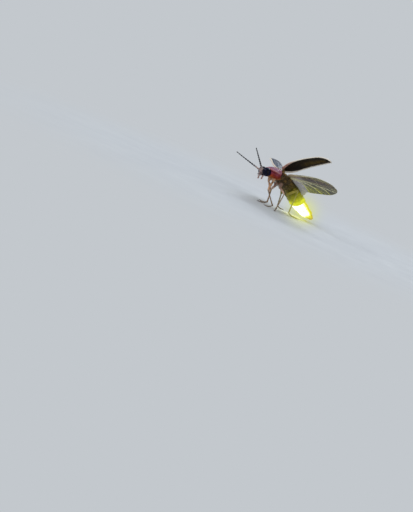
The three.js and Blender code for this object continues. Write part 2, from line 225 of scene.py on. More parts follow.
def sagittal(points, shape, steps, sides, domes=(0.1, 0.1)):
    """Rings round a spine, in the body's frame, with a dome at each end, and their points' t and angle.

    shape(t, angle) gives half the width, the height above and below the spine and a relief. The angle runs
    from the left side over the back.
    """
    squareness, step = 0.85, 1e-3
    bow = np.linspace(0.48 * np.pi, 0, BODY_DOME, endpoint=False)
    level = np.zeros(steps + 1)
    t = np.concatenate([0 * bow, even(steps + 1), 0 * bow + 1])
    scale = np.concatenate([np.cos(bow), level + 1, np.cos(bow)[::-1]])[:, None]
    shift = np.concatenate([-domes[0] * np.sin(bow), level, domes[1] * np.sin(bow)[::-1]])[:, None]
    along = unit(spine(points, np.minimum(t + step, 1)) - spine(points, np.maximum(t - step, 0)))
    dorsal = along[:, [0, 2, 1]] * vec(0, -1, 1)
    centre = spine(points, t) + along * shift
    t, angle = np.meshgrid(t, turns(sides), indexing="ij")
    width, above, below, relief = shape(t, angle)
    up = powered(np.sin(angle), squareness)
    x = scale * (width * powered(np.cos(angle), squareness) + relief * np.cos(angle))
    z = scale * (np.where(up > 0, above, below) * up + relief * np.sin(angle))
    return centre[:, None] + x[..., None] * X + z[..., None] * dorsal[:, None], t, angle


def tube(path, radii, sides=20, flat=1.0, level=None, domes=(0.8, 0.8)):
    """Rings round a path, with a dome at each end. flat is its height over its width, across level."""
    path, radii = np.asarray(path, float), np.asarray(radii, float)
    along = unit(np.gradient(path, axis=0))
    if level is None:
        level = X if abs(along[0][2]) > 0.9 else np.cross(Z, along[0])
    side, sideways = level, []
    for direction in along:
        side = unit(square_to(side, direction))
        sideways.append(side)
    bow = np.linspace(0.46 * np.pi, 0, TUBE_DOME, endpoint=False)
    first = path[0] - along[0] * (domes[0] * radii[0] * np.sin(bow))[:, None]
    last = path[-1] + along[-1] * (domes[1] * radii[-1] * np.sin(bow))[::-1, None]
    centre = np.concatenate([first, path, last])[:, None]
    radius = np.concatenate([radii[0] * np.cos(bow), radii, (radii[-1] * np.cos(bow))[::-1]])[:, None, None]
    ends = ((TUBE_DOME, TUBE_DOME), (0, 0))
    x, z = (np.pad(v, ends, mode="edge")[:, None] for v in (np.array(sideways), np.cross(along, sideways)))
    turn = turns(sides)[:, None]
    return centre + radius * (np.cos(turn) * x + flat * np.sin(turn) * z)


def limb(start, end, radii, steps, bend=0 * X, **options):
    """A piece of limb from start to end, bent in the middle, with its radii spaced evenly along it."""
    t = even(steps + 1)
    path = lerp(start, end, t[:, None]) + arch(t)[:, None] * bend
    radius = np.pad(np.interp(t, even(len(radii)), radii), 2, mode="edge")
    return tube(path, np.convolve(radius, np.ones(5) / 5, "valid"), **options)


def ball(centre, radii, axes=np.eye(3)):
    """Rings of an ellipsoid. axes has its three axes as rows."""
    polar, around = np.meshgrid(np.linspace(0.02, np.pi - 0.02, 20), turns(32), indexing="ij")
    local = [np.sin(polar) * np.cos(around), np.sin(polar) * np.sin(around), np.cos(polar)]
    return centre + (np.stack(local, -1) * radii) @ axes


def dented(rings, depth, size, seed):
    outward = unit(rings - rings.mean(1, keepdims=True))
    return rings + depth * noise(rings, size, seed)[..., None] * outward


# Fine hair, as solid tapering mesh

def closed_grid(rings):
    return np.concatenate([rings, rings[:, :1]], 1)


def scatter(grid, count, draw, keep=1.0):
    """Random places on a grid of points, even by area: point, normal, direction down the grid, and u, v."""
    a, b, d, c = grid[:-1, :-1], grid[:-1, 1:], grid[1:, :-1], grid[1:, 1:]
    weight = np.linalg.norm(np.cross(b - a, d - a), axis=-1) * keep
    rows, columns = weight.shape
    i, j = np.divmod(draw.choice(weight.size, count, p=weight.ravel() / weight.sum()), columns)
    u, v = draw.random((2, count, 1))
    point = lerp(lerp(a[i, j], b[i, j], v), lerp(d[i, j], c[i, j], v), u)
    down = unit(d[i, j] - a[i, j])
    normal = unit(np.cross(unit(b[i, j] - a[i, j]), down))
    return point, normal, down, np.concatenate([(i[:, None] + u) / rows, (j[:, None] + v) / columns], 1)


def facing(normal, away):
    """The normals, turned to the side that away points to."""
    return unit(np.where((normal * away).sum(-1, keepdims=True) > 0, normal, -normal))


def coat(name, groups, material, slot, length, lean, radius, seed):
    """Hairs that lean off a skin. A group is the roots, normals, directions and u, v of some hairs."""
    root, normal, lie, place = (np.concatenate(rows) for rows in zip(*groups))
    count, corners = len(root), 3
    draw = np.random.default_rng(seed)
    lie = unit(square_to(lie, normal) + 0.25 * draw.normal(size=(count, 3)))
    length = length * draw.uniform(0.7, 1.2, (count, 1))
    across = unit(np.cross(lie, normal))
    rows = []
    for share, thick in ((-0.1, 1.0), (0.5, 0.75)):
        centre = root + length * share * (lie + normal * lean * (1.2 - 0.7 * share))
        for turn in turns(corners):
            rows.append(centre + radius * thick * (math.cos(turn) * across + math.sin(turn) * normal))
    rows.append(root + length * (lie + normal * lean * 0.5))
    points = np.stack(rows, 1).reshape(-1, 3)
    points[:, 2] = np.maximum(points[:, 2], radius)
    start = np.arange(count)[:, None] * len(rows)
    pairs = [(k, (k + 1) % corners) for k in range(corners)]
    sides = np.concatenate([start + [k, after, corners + after, corners + k] for k, after in pairs])
    tips = np.concatenate([start + [corners + k, corners + after, 2 * corners] for k, after in pairs])
    form = Form()
    form.add(points, [sides, tips], {})
    mesh = form.mesh(name)
    # each hair's patch of the UV map lies where the hair stands on the skin
    turn = 2.1 * np.arange(corners)
    patch = 0.0015 * np.stack([np.cos(turn), np.sin(turn)], 1)
    patch = np.concatenate([patch, 0.5 * patch, [(0, 0)]])
    places = (0.02 + 0.96 * place[:, None] + patch).reshape(-1, 2)
    corner = np.zeros(len(mesh.loops), np.int32)
    mesh.loops.foreach_get("vertex_index", corner)
    mesh.uv_layers.new(name="OFBake").data.foreach_set("uv", places[corner].astype(np.float32).ravel())
    piece(name, mesh, material, slot, is_skin=False)


# Nodes

def put(tree, socket, value):
    """Gives a socket a value, or links it to the socket that feeds it."""
    if isinstance(value, bpy.types.NodeSocket):
        tree.links.new(value, socket)
    else:
        socket.default_value = value


def add_node(tree, kind, inputs=(), **settings):
    """A new node. inputs has a value or a socket for each name or number of an input."""
    made = tree.nodes.new(kind)
    for key, value in settings.items():
        setattr(made, key, value)
    for key, value in dict(inputs).items():
        put(tree, made.inputs[key], value)
    return made


def colour(code):
    """A linear colour from a hex code."""
    parts = [int(code[k:k + 2], 16) / 255 for k in (1, 3, 5)]
    return tuple(((c + 0.055) / 1.055) ** 2.4 if c > 0.04045 else c / 12.92 for c in parts) + (1.0,)


class Finish:
    """A material's nodes, with short calls for what finishes share. Sizes and depths are in millimetres."""

    def __init__(self, name):
        self.material = bpy.data.materials.new(name)
        self.material.use_nodes = True
        self.tree = self.material.node_tree
        self.shader = self.tree.nodes["Principled BSDF"]
        self.place = self.node("TexCoord").outputs["Object"]

    def node(self, kind, inputs=(), **settings):
        return add_node(self.tree, f"ShaderNode{kind}", inputs, **settings)

    def noise(self, size, detail=4.0, roughness=0.55):
        inputs = {"Vector": self.place, "Scale": 1 / (size * MM), "Detail": detail, "Roughness": roughness}
        return self.node("TexNoise", inputs).outputs["Fac"]

    def cells(self, size, feature="F1", randomness=1.0):
        inputs = {"Vector": self.place, "Scale": 1 / (size * MM), "Randomness": randomness}
        return self.node("TexVoronoi", inputs, feature=feature).outputs["Distance"]

    def mask(self, name):
        return self.node("Attribute", attribute_name=name).outputs["Fac"]

    def product(self, a, b):
        return self.node("Math", {0: a, 1: b}, operation="MULTIPLY").outputs[0]

    def fit(self, value, start, end, low=0.0, high=1.0):
        """value taken from start..end to low..high."""
        inputs = {"Value": value, "From Min": start, "From Max": end, "To Min": low, "To Max": high}
        return self.node("MapRange", inputs, interpolation_type="SMOOTHSTEP").outputs["Result"]

    def mix(self, share, a, b):
        return self.node("Mix", {0: share, 6: a, 7: b}, data_type="RGBA").outputs[2]

    def ramp(self, value, codes, places):
        """Colours from a string of hex codes, at their places along value."""
        made = self.node("ValToRGB", {"Fac": value})
        elements = made.color_ramp.elements
        while len(elements) < len(places):
            elements.new(0.5)
        for element, code, place in zip(elements, codes.split(), places):
            element.position, element.color = place, colour(code)
        return made.outputs["Color"]

    def tone(self, size, codes, places=(0.3, 0.7), detail=4.0):
        """Colours that vary with noise."""
        return self.ramp(self.noise(size, detail), codes, places)

    def layers(self, base, /, **tones):
        """base, with each tone laid over it where the mesh's mask of that name is 1."""
        for mask, tone in tones.items():
            base = self.mix(self.mask(mask), base, tone)
        return base

    def rough(self, size, low, high):
        return self.fit(self.noise(size), 0.3, 0.7, low, high)

    def bump(self, depth, height, **under):
        inputs = {"Height": height, "Distance": depth * MM, "Strength": 1.0, **under}
        return self.node("Bump", inputs).outputs["Normal"]

    def pitted(self, size, depth, grain_size, grain_depth, detail=4.0, edge=0.45):
        """Pits over a finer grain."""
        grain = self.bump(grain_depth, self.noise(grain_size, detail))
        return self.bump(depth, self.fit(self.cells(size), 0.0, edge), Normal=grain)

    def made(self, base, rough, **more):
        """The material, with the shader's sockets set."""
        for name, value in {"Base_Color": base, "Roughness": rough, **more}.items():
            put(self.tree, self.shader.inputs[name.replace("_", " ")], value)
        return self.material


def flesh(weight, depth, reach=(1.0, 0.5, 0.3)):
    """The shader's settings for a skin that light enters to a depth, furthest in red."""
    return {"Subsurface_Weight": weight, "Subsurface_Radius": reach, "Subsurface_Scale": depth * MM}


def gloss(coat, roughness, specular=0.5):
    """The shader's settings for a clear coat, and for how much the skin under it reflects."""
    return {"Coat_Weight": coat, "Coat_Roughness": roughness, "Specular_IOR_Level": specular}


# Finishes. Three colours along noise lie early, evenly or late.

EARLY, EVENLY, LATE = (0.3, 0.5, 0.75), (0.25, 0.5, 0.75), (0.3, 0.55, 0.8)


def black_cuticle():
    f = Finish("black_cuticle")
    base = f.layers(f.tone(0.35, "#0d0a0b #2b1e18", (0.3, 0.75)), pale=f.tone(0.2, "#9a6a66 #e0bdb4"))
    return f.made(base, f.rough(0.25, 0.22, 0.42), Normal=f.pitted(0.07, 0.012, 0.15, 0.02, edge=0.5),
                  **gloss(0.35, 0.18))


def compound_eye():
    f = Finish("compound_eye")
    lenses = f.bump(0.006, f.fit(f.cells(0.03, randomness=0.25), 0.0, 0.55, 1.0, 0.0))
    return f.made(f.tone(0.5, "#020307 #080d2c", detail=2.0), f.rough(0.4, 0.22, 0.34), Normal=lenses,
                  Sheen_Weight=0.22, Sheen_Roughness=0.35, Sheen_Tint=(0.08, 0.22, 1.0, 1.0),
                  **gloss(0.06, 0.16, 0.12))


def feeler_cuticle():
    f = Finish("feeler_cuticle")
    dark, pale = (f.tone(0.12, codes, (0.3, 0.75)) for codes in ("#0c0c12 #262632", "#a8837a #e3cdc2"))
    return f.made(f.layers(dark, pale=pale), f.rough(0.1, 0.4, 0.6), Sheen_Weight=0.3,
                  Normal=f.bump(0.012, f.noise(0.05, 6.0)))


def mouthpart():
    f = Finish("mouthpart")
    base = f.layers(f.tone(0.12, "#7a4f45 #c09488 #e6d2c8", EVENLY), dark=colour("#3a2019"))
    return f.made(base, f.rough(0.1, 0.3, 0.5), Normal=f.bump(0.01, f.noise(0.05)), **flesh(0.2, 0.2))


def pronotum_cuticle():
    f = Finish("pronotum_cuticle")
    base = f.layers(
        f.tone(0.5, "#8a263c #a43f57 #bd667a", EARLY),
        # mauve: the shield's top tinted mauve, a painted blue skylight falling from above
        mauve=f.tone(0.5, "#7a4263 #a06b8c"),
        margin=f.tone(0.3, "#cf8a83 #e9bfae"),
        spot=f.tone(0.2, "#0e0908 #2a1512"),
        # under: the prothorax's orange-red underside, with its darker red-brown a painted shade beneath the
        # shield
        under=f.tone(0.4, "#5e1712 #8e2a18 #b5451c", EVENLY),
        belly=f.tone(0.3, "#8f4c0c #c07f1e"))
    return f.made(base, f.rough(0.2, 0.42, 0.6), Normal=f.pitted(0.075, 0.02, 0.2, 0.03),
                  **gloss(0.05, 0.35, 0.18), **flesh(0.15, 0.25, (1.0, 0.35, 0.2)))


def brown_cuticle():
    f = Finish("brown_cuticle")
    dark = f.tone(0.35, "#100804 #2a1808 #574014", LATE, 5.0)
    tan = f.tone(0.2, "#6b4b20 #b48e4a")
    flecks = f.fit(f.noise(0.16, 6.0, 0.7), 0.5, 0.66)
    # glow: painted lantern light, an olive-yellow wash over the brown cuticle
    base = f.layers(f.mix(f.product(flecks, 0.6), dark, tan), tan=tan, glow=f.tone(0.25, "#4a3d08 #8f7d14"))
    return f.made(base, f.rough(0.2, 0.34, 0.55), Normal=f.pitted(0.085, 0.022, 0.18, 0.035),
                  **gloss(0.05, 0.3, 0.2))


def abdomen_cuticle():
    f = Finish("abdomen_cuticle")
    base = f.layers(
        f.tone(0.4, "#1c1404 #3a2c07 #68560c", LATE, 5.0),
        edge=f.tone(0.3, "#786c06 #b3a610"),
        # glow: painted lantern light, yellow-green on the cuticle nearest the lantern
        glow=f.tone(0.4, "#7c7904 #a9a50b #cbc524", EARLY),
        crease=f.tone(0.2, "#1c1403 #453706"))
    # the abdomen is no lamp: its emission is painted lantern light, spilling onto the cuticle beside the
    # lantern
    light = f.product(f.mask("light"), f.fit(f.noise(0.35), 0.25, 0.75, 0.8, 1.15))
    return f.made(base, f.rough(0.2, 0.32, 0.5), Normal=f.pitted(0.09, 0.02, 0.15, 0.03),
                  Emission_Color=(0.72, 0.8, 0.02, 1.0), Emission_Strength=light, **gloss(0.05, 0.25, 0.2))


def lantern_organ():
    """Light from small round cells, white where it is strongest and amber where it is weak."""
    f = Finish("lantern_organ")
    base = f.layers(
        f.tone(0.35, "#96800a #cfbc20"),
        glow=f.tone(0.25, "#ddd98c #fbf7c8"),
        back=f.tone(0.3, "#2c1c08 #6b4a12"),
        crease=f.tone(0.2, "#7a4a04 #c98a0a"))
    cells = f.cells(0.22, "SMOOTH_F1")
    light = f.product(f.mask("light"), f.fit(cells, 0.1, 0.7, 1.12, 0.85))
    hues, places = "#dc8c00 #e8c800 #dce400 #eeff30 #fffbc8", (0.0, 0.16, 0.4, 0.62, 0.95)
    bumps = f.bump(0.015, f.noise(0.1), Normal=f.bump(0.02, cells))
    return f.made(base, f.rough(0.2, 0.3, 0.45), Normal=bumps, Emission_Strength=light,
                  Emission_Color=f.ramp(f.fit(light, 0.1, 1.6), hues, places), **gloss(0.3, 0.2))


def wing_case():
    f = Finish("wing_case")
    rim = f.layers(f.tone(0.25, "#dccbb4 #faf3e6"), base=f.tone(0.3, "#a5695a #d8a590"))
    base = f.layers(
        f.tone(0.45, "#0a0501 #1a0e03 #342207", LATE, 5.0),
        # gold: a painted streak of golden lantern light, shown on the inner face towards the rear edge
        gold=f.tone(0.3, "#291c06 #604a0e", detail=5.0),
        # the upper face's slate blue-grey is a painted sky reflection over dark brown cuticle
        upper=f.tone(0.5, "#262e3d #3f4b60 #66758c", (0.25, 0.55, 0.8), 5.0),
        rim=rim)
    return f.made(base, f.rough(0.2, 0.3, 0.46), Normal=f.pitted(0.08, 0.02, 0.12, 0.03, 5.0),
                  **gloss(0.05, 0.25, 0.15))


def wing_membrane():
    f = Finish("wing_membrane")
    base = f.layers(
        f.tone(0.8, "#332f0a #544f18 #7d7838", EARLY),
        # lit: painted lantern light, yellowing the membrane
        lit=f.tone(0.5, "#6b6a10 #9d9c38"),
        lilac=f.tone(0.6, "#bfb8c4 #ebe6ee"),
        tan=f.tone(0.3, "#946a54 #c49a82"),
        brown=f.tone(0.4, "#1e0d04 #57290c"))
    bumps = f.bump(0.012, f.noise(0.12, 5.0), Normal=f.bump(0.02, f.noise(0.5)))
    return f.made(base, f.rough(0.3, 0.2, 0.35), Normal=bumps, Alpha=0.7, **gloss(0.15, 0.12, 0.4))


def wing_vein():
    f = Finish("wing_vein")
    base = f.layers(
        f.tone(0.3, "#d6cfa0 #f8f3d2"),
        # lit: painted lantern light on the veins
        lit=f.tone(0.3, "#d3d03c #f3f28a"),
        dark=f.tone(0.3, "#5c3f28 #a27a56"))
    return f.made(base, f.rough(0.1, 0.35, 0.5), Normal=f.bump(0.008, f.noise(0.06)))


def leg_cuticle():
    f = Finish("leg_cuticle")
    base = f.layers(
        f.tone(0.3, "#a9683f #cf9a70 #ecc9a6", EVENLY),
        pink=f.tone(0.3, "#9c7064 #c79f90 #e6cabc", EVENLY),
        # olive: olive-brown cuticle with a painted yellow of lantern light, on the hind legs
        olive=f.tone(0.3, "#66560a #a09016 #cfc034", EVENLY),
        outer=f.tone(0.2, "#4a3b30 #857460 #b9aa90", LATE),
        dark=f.tone(0.2, "#120c0a #2c201a"))
    return f.made(base, f.rough(0.15, 0.32, 0.5), Normal=f.pitted(0.06, 0.012, 0.08, 0.015),
                  **gloss(0.15, 0.3), **flesh(0.1, 0.15))


def hair(name, codes):
    f = Finish(name)
    return f.made(f.tone(0.4, codes), f.rough(0.1, 0.4, 0.6), Sheen_Weight=0.2)


BLACK, EYE, FEELER, MOUTH = black_cuticle(), compound_eye(), feeler_cuticle(), mouthpart()
PRONOTUM, BROWN, ABDOMEN, LANTERN = pronotum_cuticle(), brown_cuticle(), abdomen_cuticle(), lantern_organ()
CASE, MEMBRANE, VEIN, LEG = wing_case(), wing_membrane(), wing_vein(), leg_cuticle()
GOLD_HAIR, DARK_HAIR = hair("gold_hair", "#7d6238 #c8ab74"), hair("dark_hair", "#15110f #3c3028")
PALE_HAIR, ROSE_HAIR = hair("pale_hair", "#a58a5e #e6d3a8"), hair("rose_hair", "#7c4450 #b98a90")


# The body's frame: x to its left, y backwards, z towards its back, origin at the waist

ROLL = math.radians(8)
WAIST_HEIGHT = 3.75
EYE_CENTRE = vec(0.58, -5.22, 0.9)
LEFT, BACK = turned(X, Z, ROLL)
BODY_AXES = np.stack([LEFT, Y, BACK])


def box_middle(node):
    low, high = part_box(node)
    return np.array((low + high) / 2) / MM


def at_height(point, height):
    return vec(point[0], point[1], height)


EYES_MIDDLE = (box_middle("eye_left") + box_middle("eye_right")) / 2
WAIST = at_height(EYES_MIDDLE - vec(0, EYE_CENTRE[1], EYE_CENTRE[2]) @ BODY_AXES, WAIST_HEIGHT)


def of_body(points):
    """Points of the body's frame in the model's own frame."""
    return WAIST + np.asarray(points, float) @ BODY_AXES


def over_floor(point):
    """A point given from the waist, its height from the floor."""
    return at_height(WAIST + point, point[2])


def body_hair(name, skin, points, count, seed, material, slot, *hair):
    """A coat for a skin round a spine. hair is its length, lean, radius and seed."""
    root, normal, down, place = scatter(closed_grid(skin), count, np.random.default_rng(seed))
    away = root - of_body(spine(points, place[:, 0]))
    coat(f"{name}_hair", [(root, facing(normal, away), down, place)], material, slot, *hair)


# Head

HEAD_CURVE = [(-4.3, 0.95), (-4.8, 0.92), (-5.4, 0.92), (-5.8, 0.72)]
NECK_CURVE = [(-4.6, 0.93), (-3.9, 0.98)]
LIPS = [  # centre, radii, paleness
    ((0, -5.9, 0.5), (0.3, 0.14, 0.13), 0.25), ((0, -6.0, 0.38), (0.2, 0.11, 0.08), 0.7),
]
JAW = [(0.34, -5.72, 0.4), (0.36, -5.9, 0.3), (0.24, -6.05, 0.2), (0.06, -6.09, 0.15)]
SMALL_PALP = [(0.12, -5.75, 0.28), (0.18, -5.9, 0.08), (0.2, -5.98, -0.08)]
EYE_RADIUS = 0.68
FEELER_SEAT = (0.32, -5.85, 0.88)
FEELER_TIPS = {"left": (2.5, -9.4, 3.46), "right": (-2.9, -9.2, 2.3)}
FEELER_JOINTS = [0.13, 0.055] + [0.0905] * 9
PALP = [(0.3, -5.3, 0.45), (0.44, -5.5, 0.14), (0.5, -5.58, -0.04), (0.47, -5.62, -0.44)]
PALP_JOINTS = [  # start, end, radius
    (0.0, 0.2, 0.11), (0.22, 0.52, 0.12), (0.54, 0.66, 0.11), (0.68, 1.0, 0.16),
]


def head_shape(t, angle):
    slim, top = smooth(0.3, 1, t), np.sin(angle)
    frons = -0.06 * bell(t - 0.85, 0.15) * smooth(0.3, 1, top)
    cheek = 0.04 * bell(t - 0.9, 0.1) * bell(top + 0.3, 0.3)
    return lerp(0.8, 0.6, slim), lerp(0.55, 0.42, slim), lerp(0.6, 0.42, slim), frons + cheek


def make_head():
    form = Form()
    rings, t, _ = sagittal(HEAD_CURVE, head_shape, 40, 72, (0.1, 0.14))
    form.rings(of_body(rings), pale=0.5 * smooth(0.75, 1.0, t) * smooth(0.6, 0.25, np.abs(rings[..., 0])))
    for centre, radii, pale in LIPS:
        form.rings(of_body(ball(centre, radii)), pale=pale)
    for side in (1, -1):
        form.rings(of_body(ball(mirrored(FEELER_SEAT, side) + vec(0, 0.06, 0), (0.2, 0.17, 0.2))), pale=0.8)
        u = even(20)
        jaw = tube(curve(mirrored(JAW, side), u), lerp(0.12, 0.02, u ** 1.3), 16, 0.7)
        form.rings(of_body(jaw), pale=0.15)
        for joint in range(3):
            u = even(10)
            path = curve(mirrored(SMALL_PALP, side), lerp(joint, joint + 0.9, u) / 3)
            form.rings(of_body(tube(path, 0.06 * arch(lerp(0.25, 0.9, u)) + 0.012, 12)), pale=0.85)
        turn = 2 * np.pi * even(50)
        rim = 0.655 * np.stack([0 * turn, np.cos(turn), np.sin(turn)], 1)
        rim += mirrored(EYE_CENTRE - vec(0.03, 0, 0), side)
        form.rings(of_body(tube(rim, np.full(50, 0.035), 8)), pale=0.1)
    neck, *_ = sagittal(NECK_CURVE, lambda t, angle: (0.62, 0.4, 0.45, 0 * t), 12, 48)
    form.rings(of_body(neck), pale=0.4)
    piece("head", form, BLACK, "black_cuticle")


def make_eye(word, side):
    """A fine ball, cut flat towards the head, that rises to a lens at each corner of a coarser ball."""
    squash, inner, spacing, rise = 0.88, 0.52, 0.075, 0.006
    coarse, fine = bmesh.new(), bmesh.new()
    bmesh.ops.create_icosphere(coarse, subdivisions=5, radius=1)
    bmesh.ops.create_icosphere(fine, subdivisions=7, radius=1)
    lenses = KDTree(len(coarse.verts))
    for index, corner in enumerate(coarse.verts):
        lenses.insert(corner.co, index)
    lenses.balance()
    cut = (inner - EYE_CENTRE[0]) / (squash * EYE_RADIUS)
    bmesh.ops.delete(fine, geom=[v for v in fine.verts if v.co.x * side < cut], context="VERTS")
    bmesh.ops.holes_fill(fine, edges=[e for e in fine.edges if e.is_boundary])
    mesh = bpy.data.meshes.new(f"eye_{word}")
    fine.to_mesh(mesh)
    coarse.free()
    fine.free()
    points = np.array([v.co for v in mesh.vertices])
    nearest = np.array([[lenses.find(point)[2]] for point in points])
    lift = 1 + rise * (1 - np.minimum(1, nearest / spacing) ** 2)
    placed = of_body(mirrored(EYE_CENTRE, side) + unit(points) * lift * vec(squash, 1, 1) * EYE_RADIUS)
    mesh.vertices.foreach_set("co", (placed * MM).ravel())
    mesh.shade_smooth()
    piece(f"eye_{word}", mesh, EYE, "compound_eye")


def make_feeler(word, side):
    """Eleven joints: a stout pale one at the base, a short one, and nine that widen forwards."""
    base, tip = mirrored(FEELER_SEAT, side), vec(*FEELER_TIPS[word])
    bow = vec(side * 0.25, -0.25, 0.1)
    route = [base, lerp(base, tip, 0.35) + bow, lerp(base, tip, 0.7) + 0.8 * bow, tip]
    ends = np.concatenate([[0], np.cumsum(FEELER_JOINTS)])
    ends /= ends[-1]
    radii = [0.17, 0.15, *lerp(0.155, 0.085, np.arange(9) / 8)]
    pale = [1.0, 0.75, 0.2] + [0.0] * 8
    u = even(15)
    profile = lerp(0.55, 1.0, smooth(0, 0.75, u)) * lerp(1.0, 0.72, smooth(0.85, 1.0, u))
    form, groups = Form(), []
    draw = np.random.default_rng(31 + side)
    for joint, radius in enumerate(radii):
        path = of_body(curve(route, lerp(ends[joint] + 0.004, ends[joint + 1] - 0.002, u)))
        rings = tube(path, radius * profile, 20, 0.82, domes=(0.5, 0.6))
        form.rings(rings, pale=pale[joint])
        root, _, down, place = scatter(closed_grid(rings), 90, draw)
        groups.append((root, unit(square_to(root - rings.mean((0, 1)), down)), down, place))
    piece(f"antenna_{word}", form, FEELER, "feeler_cuticle")
    coat(f"antenna_{word}_hair", groups, DARK_HAIR, "feeler_cuticle", 0.08, 0.4, 0.005, 5)


def make_palp(word, side):
    """Four joints, the last one large and pointed."""
    form = Form()
    u = even(14)
    for start, end, radius in PALP_JOINTS:
        path = of_body(curve(mirrored(PALP, side), lerp(start, end, u)))
        swelling = lerp(0.22, 0.8, u) if end < 1 else lerp(0.2, 0.97, u ** 0.8)
        form.rings(tube(path, radius * arch(swelling) + 0.01, 20, 0.7), dark=0.4)
    piece(f"palp_{word}", form, MOUTH, "mouthpart")


# Pronotum

SHIELD_MIDDLE, SHIELD_CREST = vec(0, -3.55, 0), 2.02
SHIELD_HALF, SHIELD_FRONT = 1.7, 1.4
SHIELD_CORNERS, SHIELD_LOBE = 0.45, 0.4
SHIELD_THICK = 0.16
CHEST_CURVE = [(-4.6, 0.98), (-3.9, 1.0), (-3.1, 1.13), (-2.7, 1.2)]


def shield_outline(angle):
    forward = np.sin(angle)
    rear = SHIELD_CORNERS * np.abs(forward) ** 0.35 + SHIELD_LOBE * forward ** 4
    return SHIELD_HALF * powered(np.cos(angle), 0.9), np.where(forward > 0, -SHIELD_FRONT * forward, rear)


def shield_top(x, y, share):
    """Height of the shield over a place: domed, with a groove along its middle and a raised rim."""
    forward = np.maximum(0, -y / SHIELD_FRONT)
    height = SHIELD_CREST - 0.74 * (x / SHIELD_HALF) ** 2 - 0.4 * forward ** 2.5
    gutter = -0.025 * bell(share - 0.84, 0.08)
    rim = 0.02 * smooth(0.88, 0.99, share)
    groove = -0.05 * bell(x, 0.09) * smooth(1, 0.6, share)
    humps = 0.05 * bell(np.abs(x) - 0.5, 0.3) * bell(y - 0.05, 0.35)
    return height + gutter + rim + groove + humps


def chest_shape(t, angle):
    swell = np.sin(np.pi / 2 * t)
    fold = -0.06 * bell(np.sin(angle) + 0.25, 0.12) * smooth(0.1, 0.4, t)
    collar = 0.05 * smooth(0.15, 0.0, t)
    return lerp(1.0, 1.4, swell), lerp(0.5, 0.62, t), lerp(0.55, 0.85, swell), fold + collar


def make_pronotum():
    """The shield over the head's rear, and the chest under it."""
    rows, rim_rows = 40, 7
    edge_x, edge_y = shield_outline(turns(160)[None, :])

    def face(share, drop):
        x, y = edge_x * share, edge_y * share
        return SHIELD_MIDDLE + np.stack([x, y, shield_top(x, y, share) - drop], -1)

    share = np.linspace(0.02, 1, rows)[:, None] ** 0.8
    rounding = np.linspace(0, np.pi, rim_rows + 2)[1:-1, None]
    rim = face(1 + 0.02 * np.sin(rounding), SHIELD_THICK / 2 * (1 - np.cos(rounding)))
    lower = share[::-1]
    rings = np.concatenate([face(share, 0), rim, face(lower, SHIELD_THICK + 0.25 * smooth(1, 0.75, lower))])
    shares = np.concatenate([share, np.ones((rim_rows, 1)), lower])
    top = np.repeat([1.0, 0.6, 0.0], [rows, rim_rows, rows])[:, None]
    ragged = 0.05 * noise(rings, 0.35, 3)
    x, y = rings[..., 0], rings[..., 1] - SHIELD_MIDDLE[1]
    spot = smooth(1.0, 0.82, np.hypot(x / 0.42, (y + 0.1) / 0.62) + 2 * ragged)
    form = Form()
    world = of_body(rings)
    margin = 0.3 * smooth(0.8, 0.95, shares + ragged)
    # the shield's top face takes the painted mauve skylight
    form.rings(world, margin=margin, spot=spot * top, under=(1 - top) * 0.8, mauve=0.8 * smooth(0.5, 1, top))
    chest, _, angle = sagittal(CHEST_CURVE, chest_shape, 36, 96, (0.05, 0.1))
    depth = np.sin(angle) + 0.25 * noise(chest, 0.6, 5)
    # under spans the flank between the rose top and the amber belly: orange-red cuticle with painted shade
    # under the shield
    under, belly = smooth(0.2, -0.45, depth), 0.9 * smooth(-0.6, -0.95, depth)
    # the chest takes a faint even share of the painted mauve skylight
    form.rings(of_body(chest), under=under, belly=belly, mauve=0.15)
    piece("pronotum", form, PRONOTUM, "pronotum_cuticle")
    root, normal, _, place = scatter(closed_grid(world[:rows]), 1300, np.random.default_rng(11))
    group = (root, facing(normal, BACK), np.broadcast_to(Y, root.shape), place)
    coat("pronotum_hair", [group], ROSE_HAIR, "pronotum_cuticle", 0.1, 0.3, 0.0035, 12)


# Thorax

THORAX_CURVE = [(-2.95, 1.33), (-2.85, 1.27), (-1.7, 0.85), (-0.7, 0.32), (0.0, -0.05)]
THORAX_SEAMS = [(0.22, 0.34, 0.07), (-0.16, 0.66, 0.055), (0.1, 0.9, 0.04)]  # slope, share along, depth
WING_HINGES = [  # centre, radii, tan share
    ((0.95, -2.62, 1.72), (0.24, 0.2, 0.16), 0.95), ((1.22, -2.42, 1.5), (0.18, 0.24, 0.18), 0.8),
    ((1.2, -1.62, 1.28), (0.2, 0.3, 0.13), 0.9), ((1.42, -1.3, 1.02), (0.14, 0.26, 0.12), 0.7),
]
CASE_STALK = [(0.5, -2.5, 1.5), (0.78, -2.66, 1.82), (1.12, -2.72, 2.12)]


def thorax_shape(t, angle):
    up, across = np.sin(angle), np.cos(angle)
    back = smooth(0.55, 0.9, up)
    humps = 0.09 * back * bell(np.abs(across) - 0.42, 0.25) * bell(t - 0.62, 0.22)
    groove = 0.09 * back * bell(across, 0.13) * smooth(0.35, 0.6, t)
    relief = humps - groove
    for slope, place, depth in THORAX_SEAMS:
        relief = relief - depth * bell(t - place - slope * up, 0.02) * smooth(0.75, 0.45, np.abs(up))
    relief = relief - 0.05 * bell(up + 0.35, 0.05) - 0.04 * bell(up - 0.45, 0.05)
    relief = relief - 0.05 * smooth(-0.6, -0.95, up) * bell(across, 0.07)
    return 1.6 * lerp(0.88, 1.0, arch(t)), lerp(0.72, 0.92, t), lerp(0.82, 1.0, t), relief


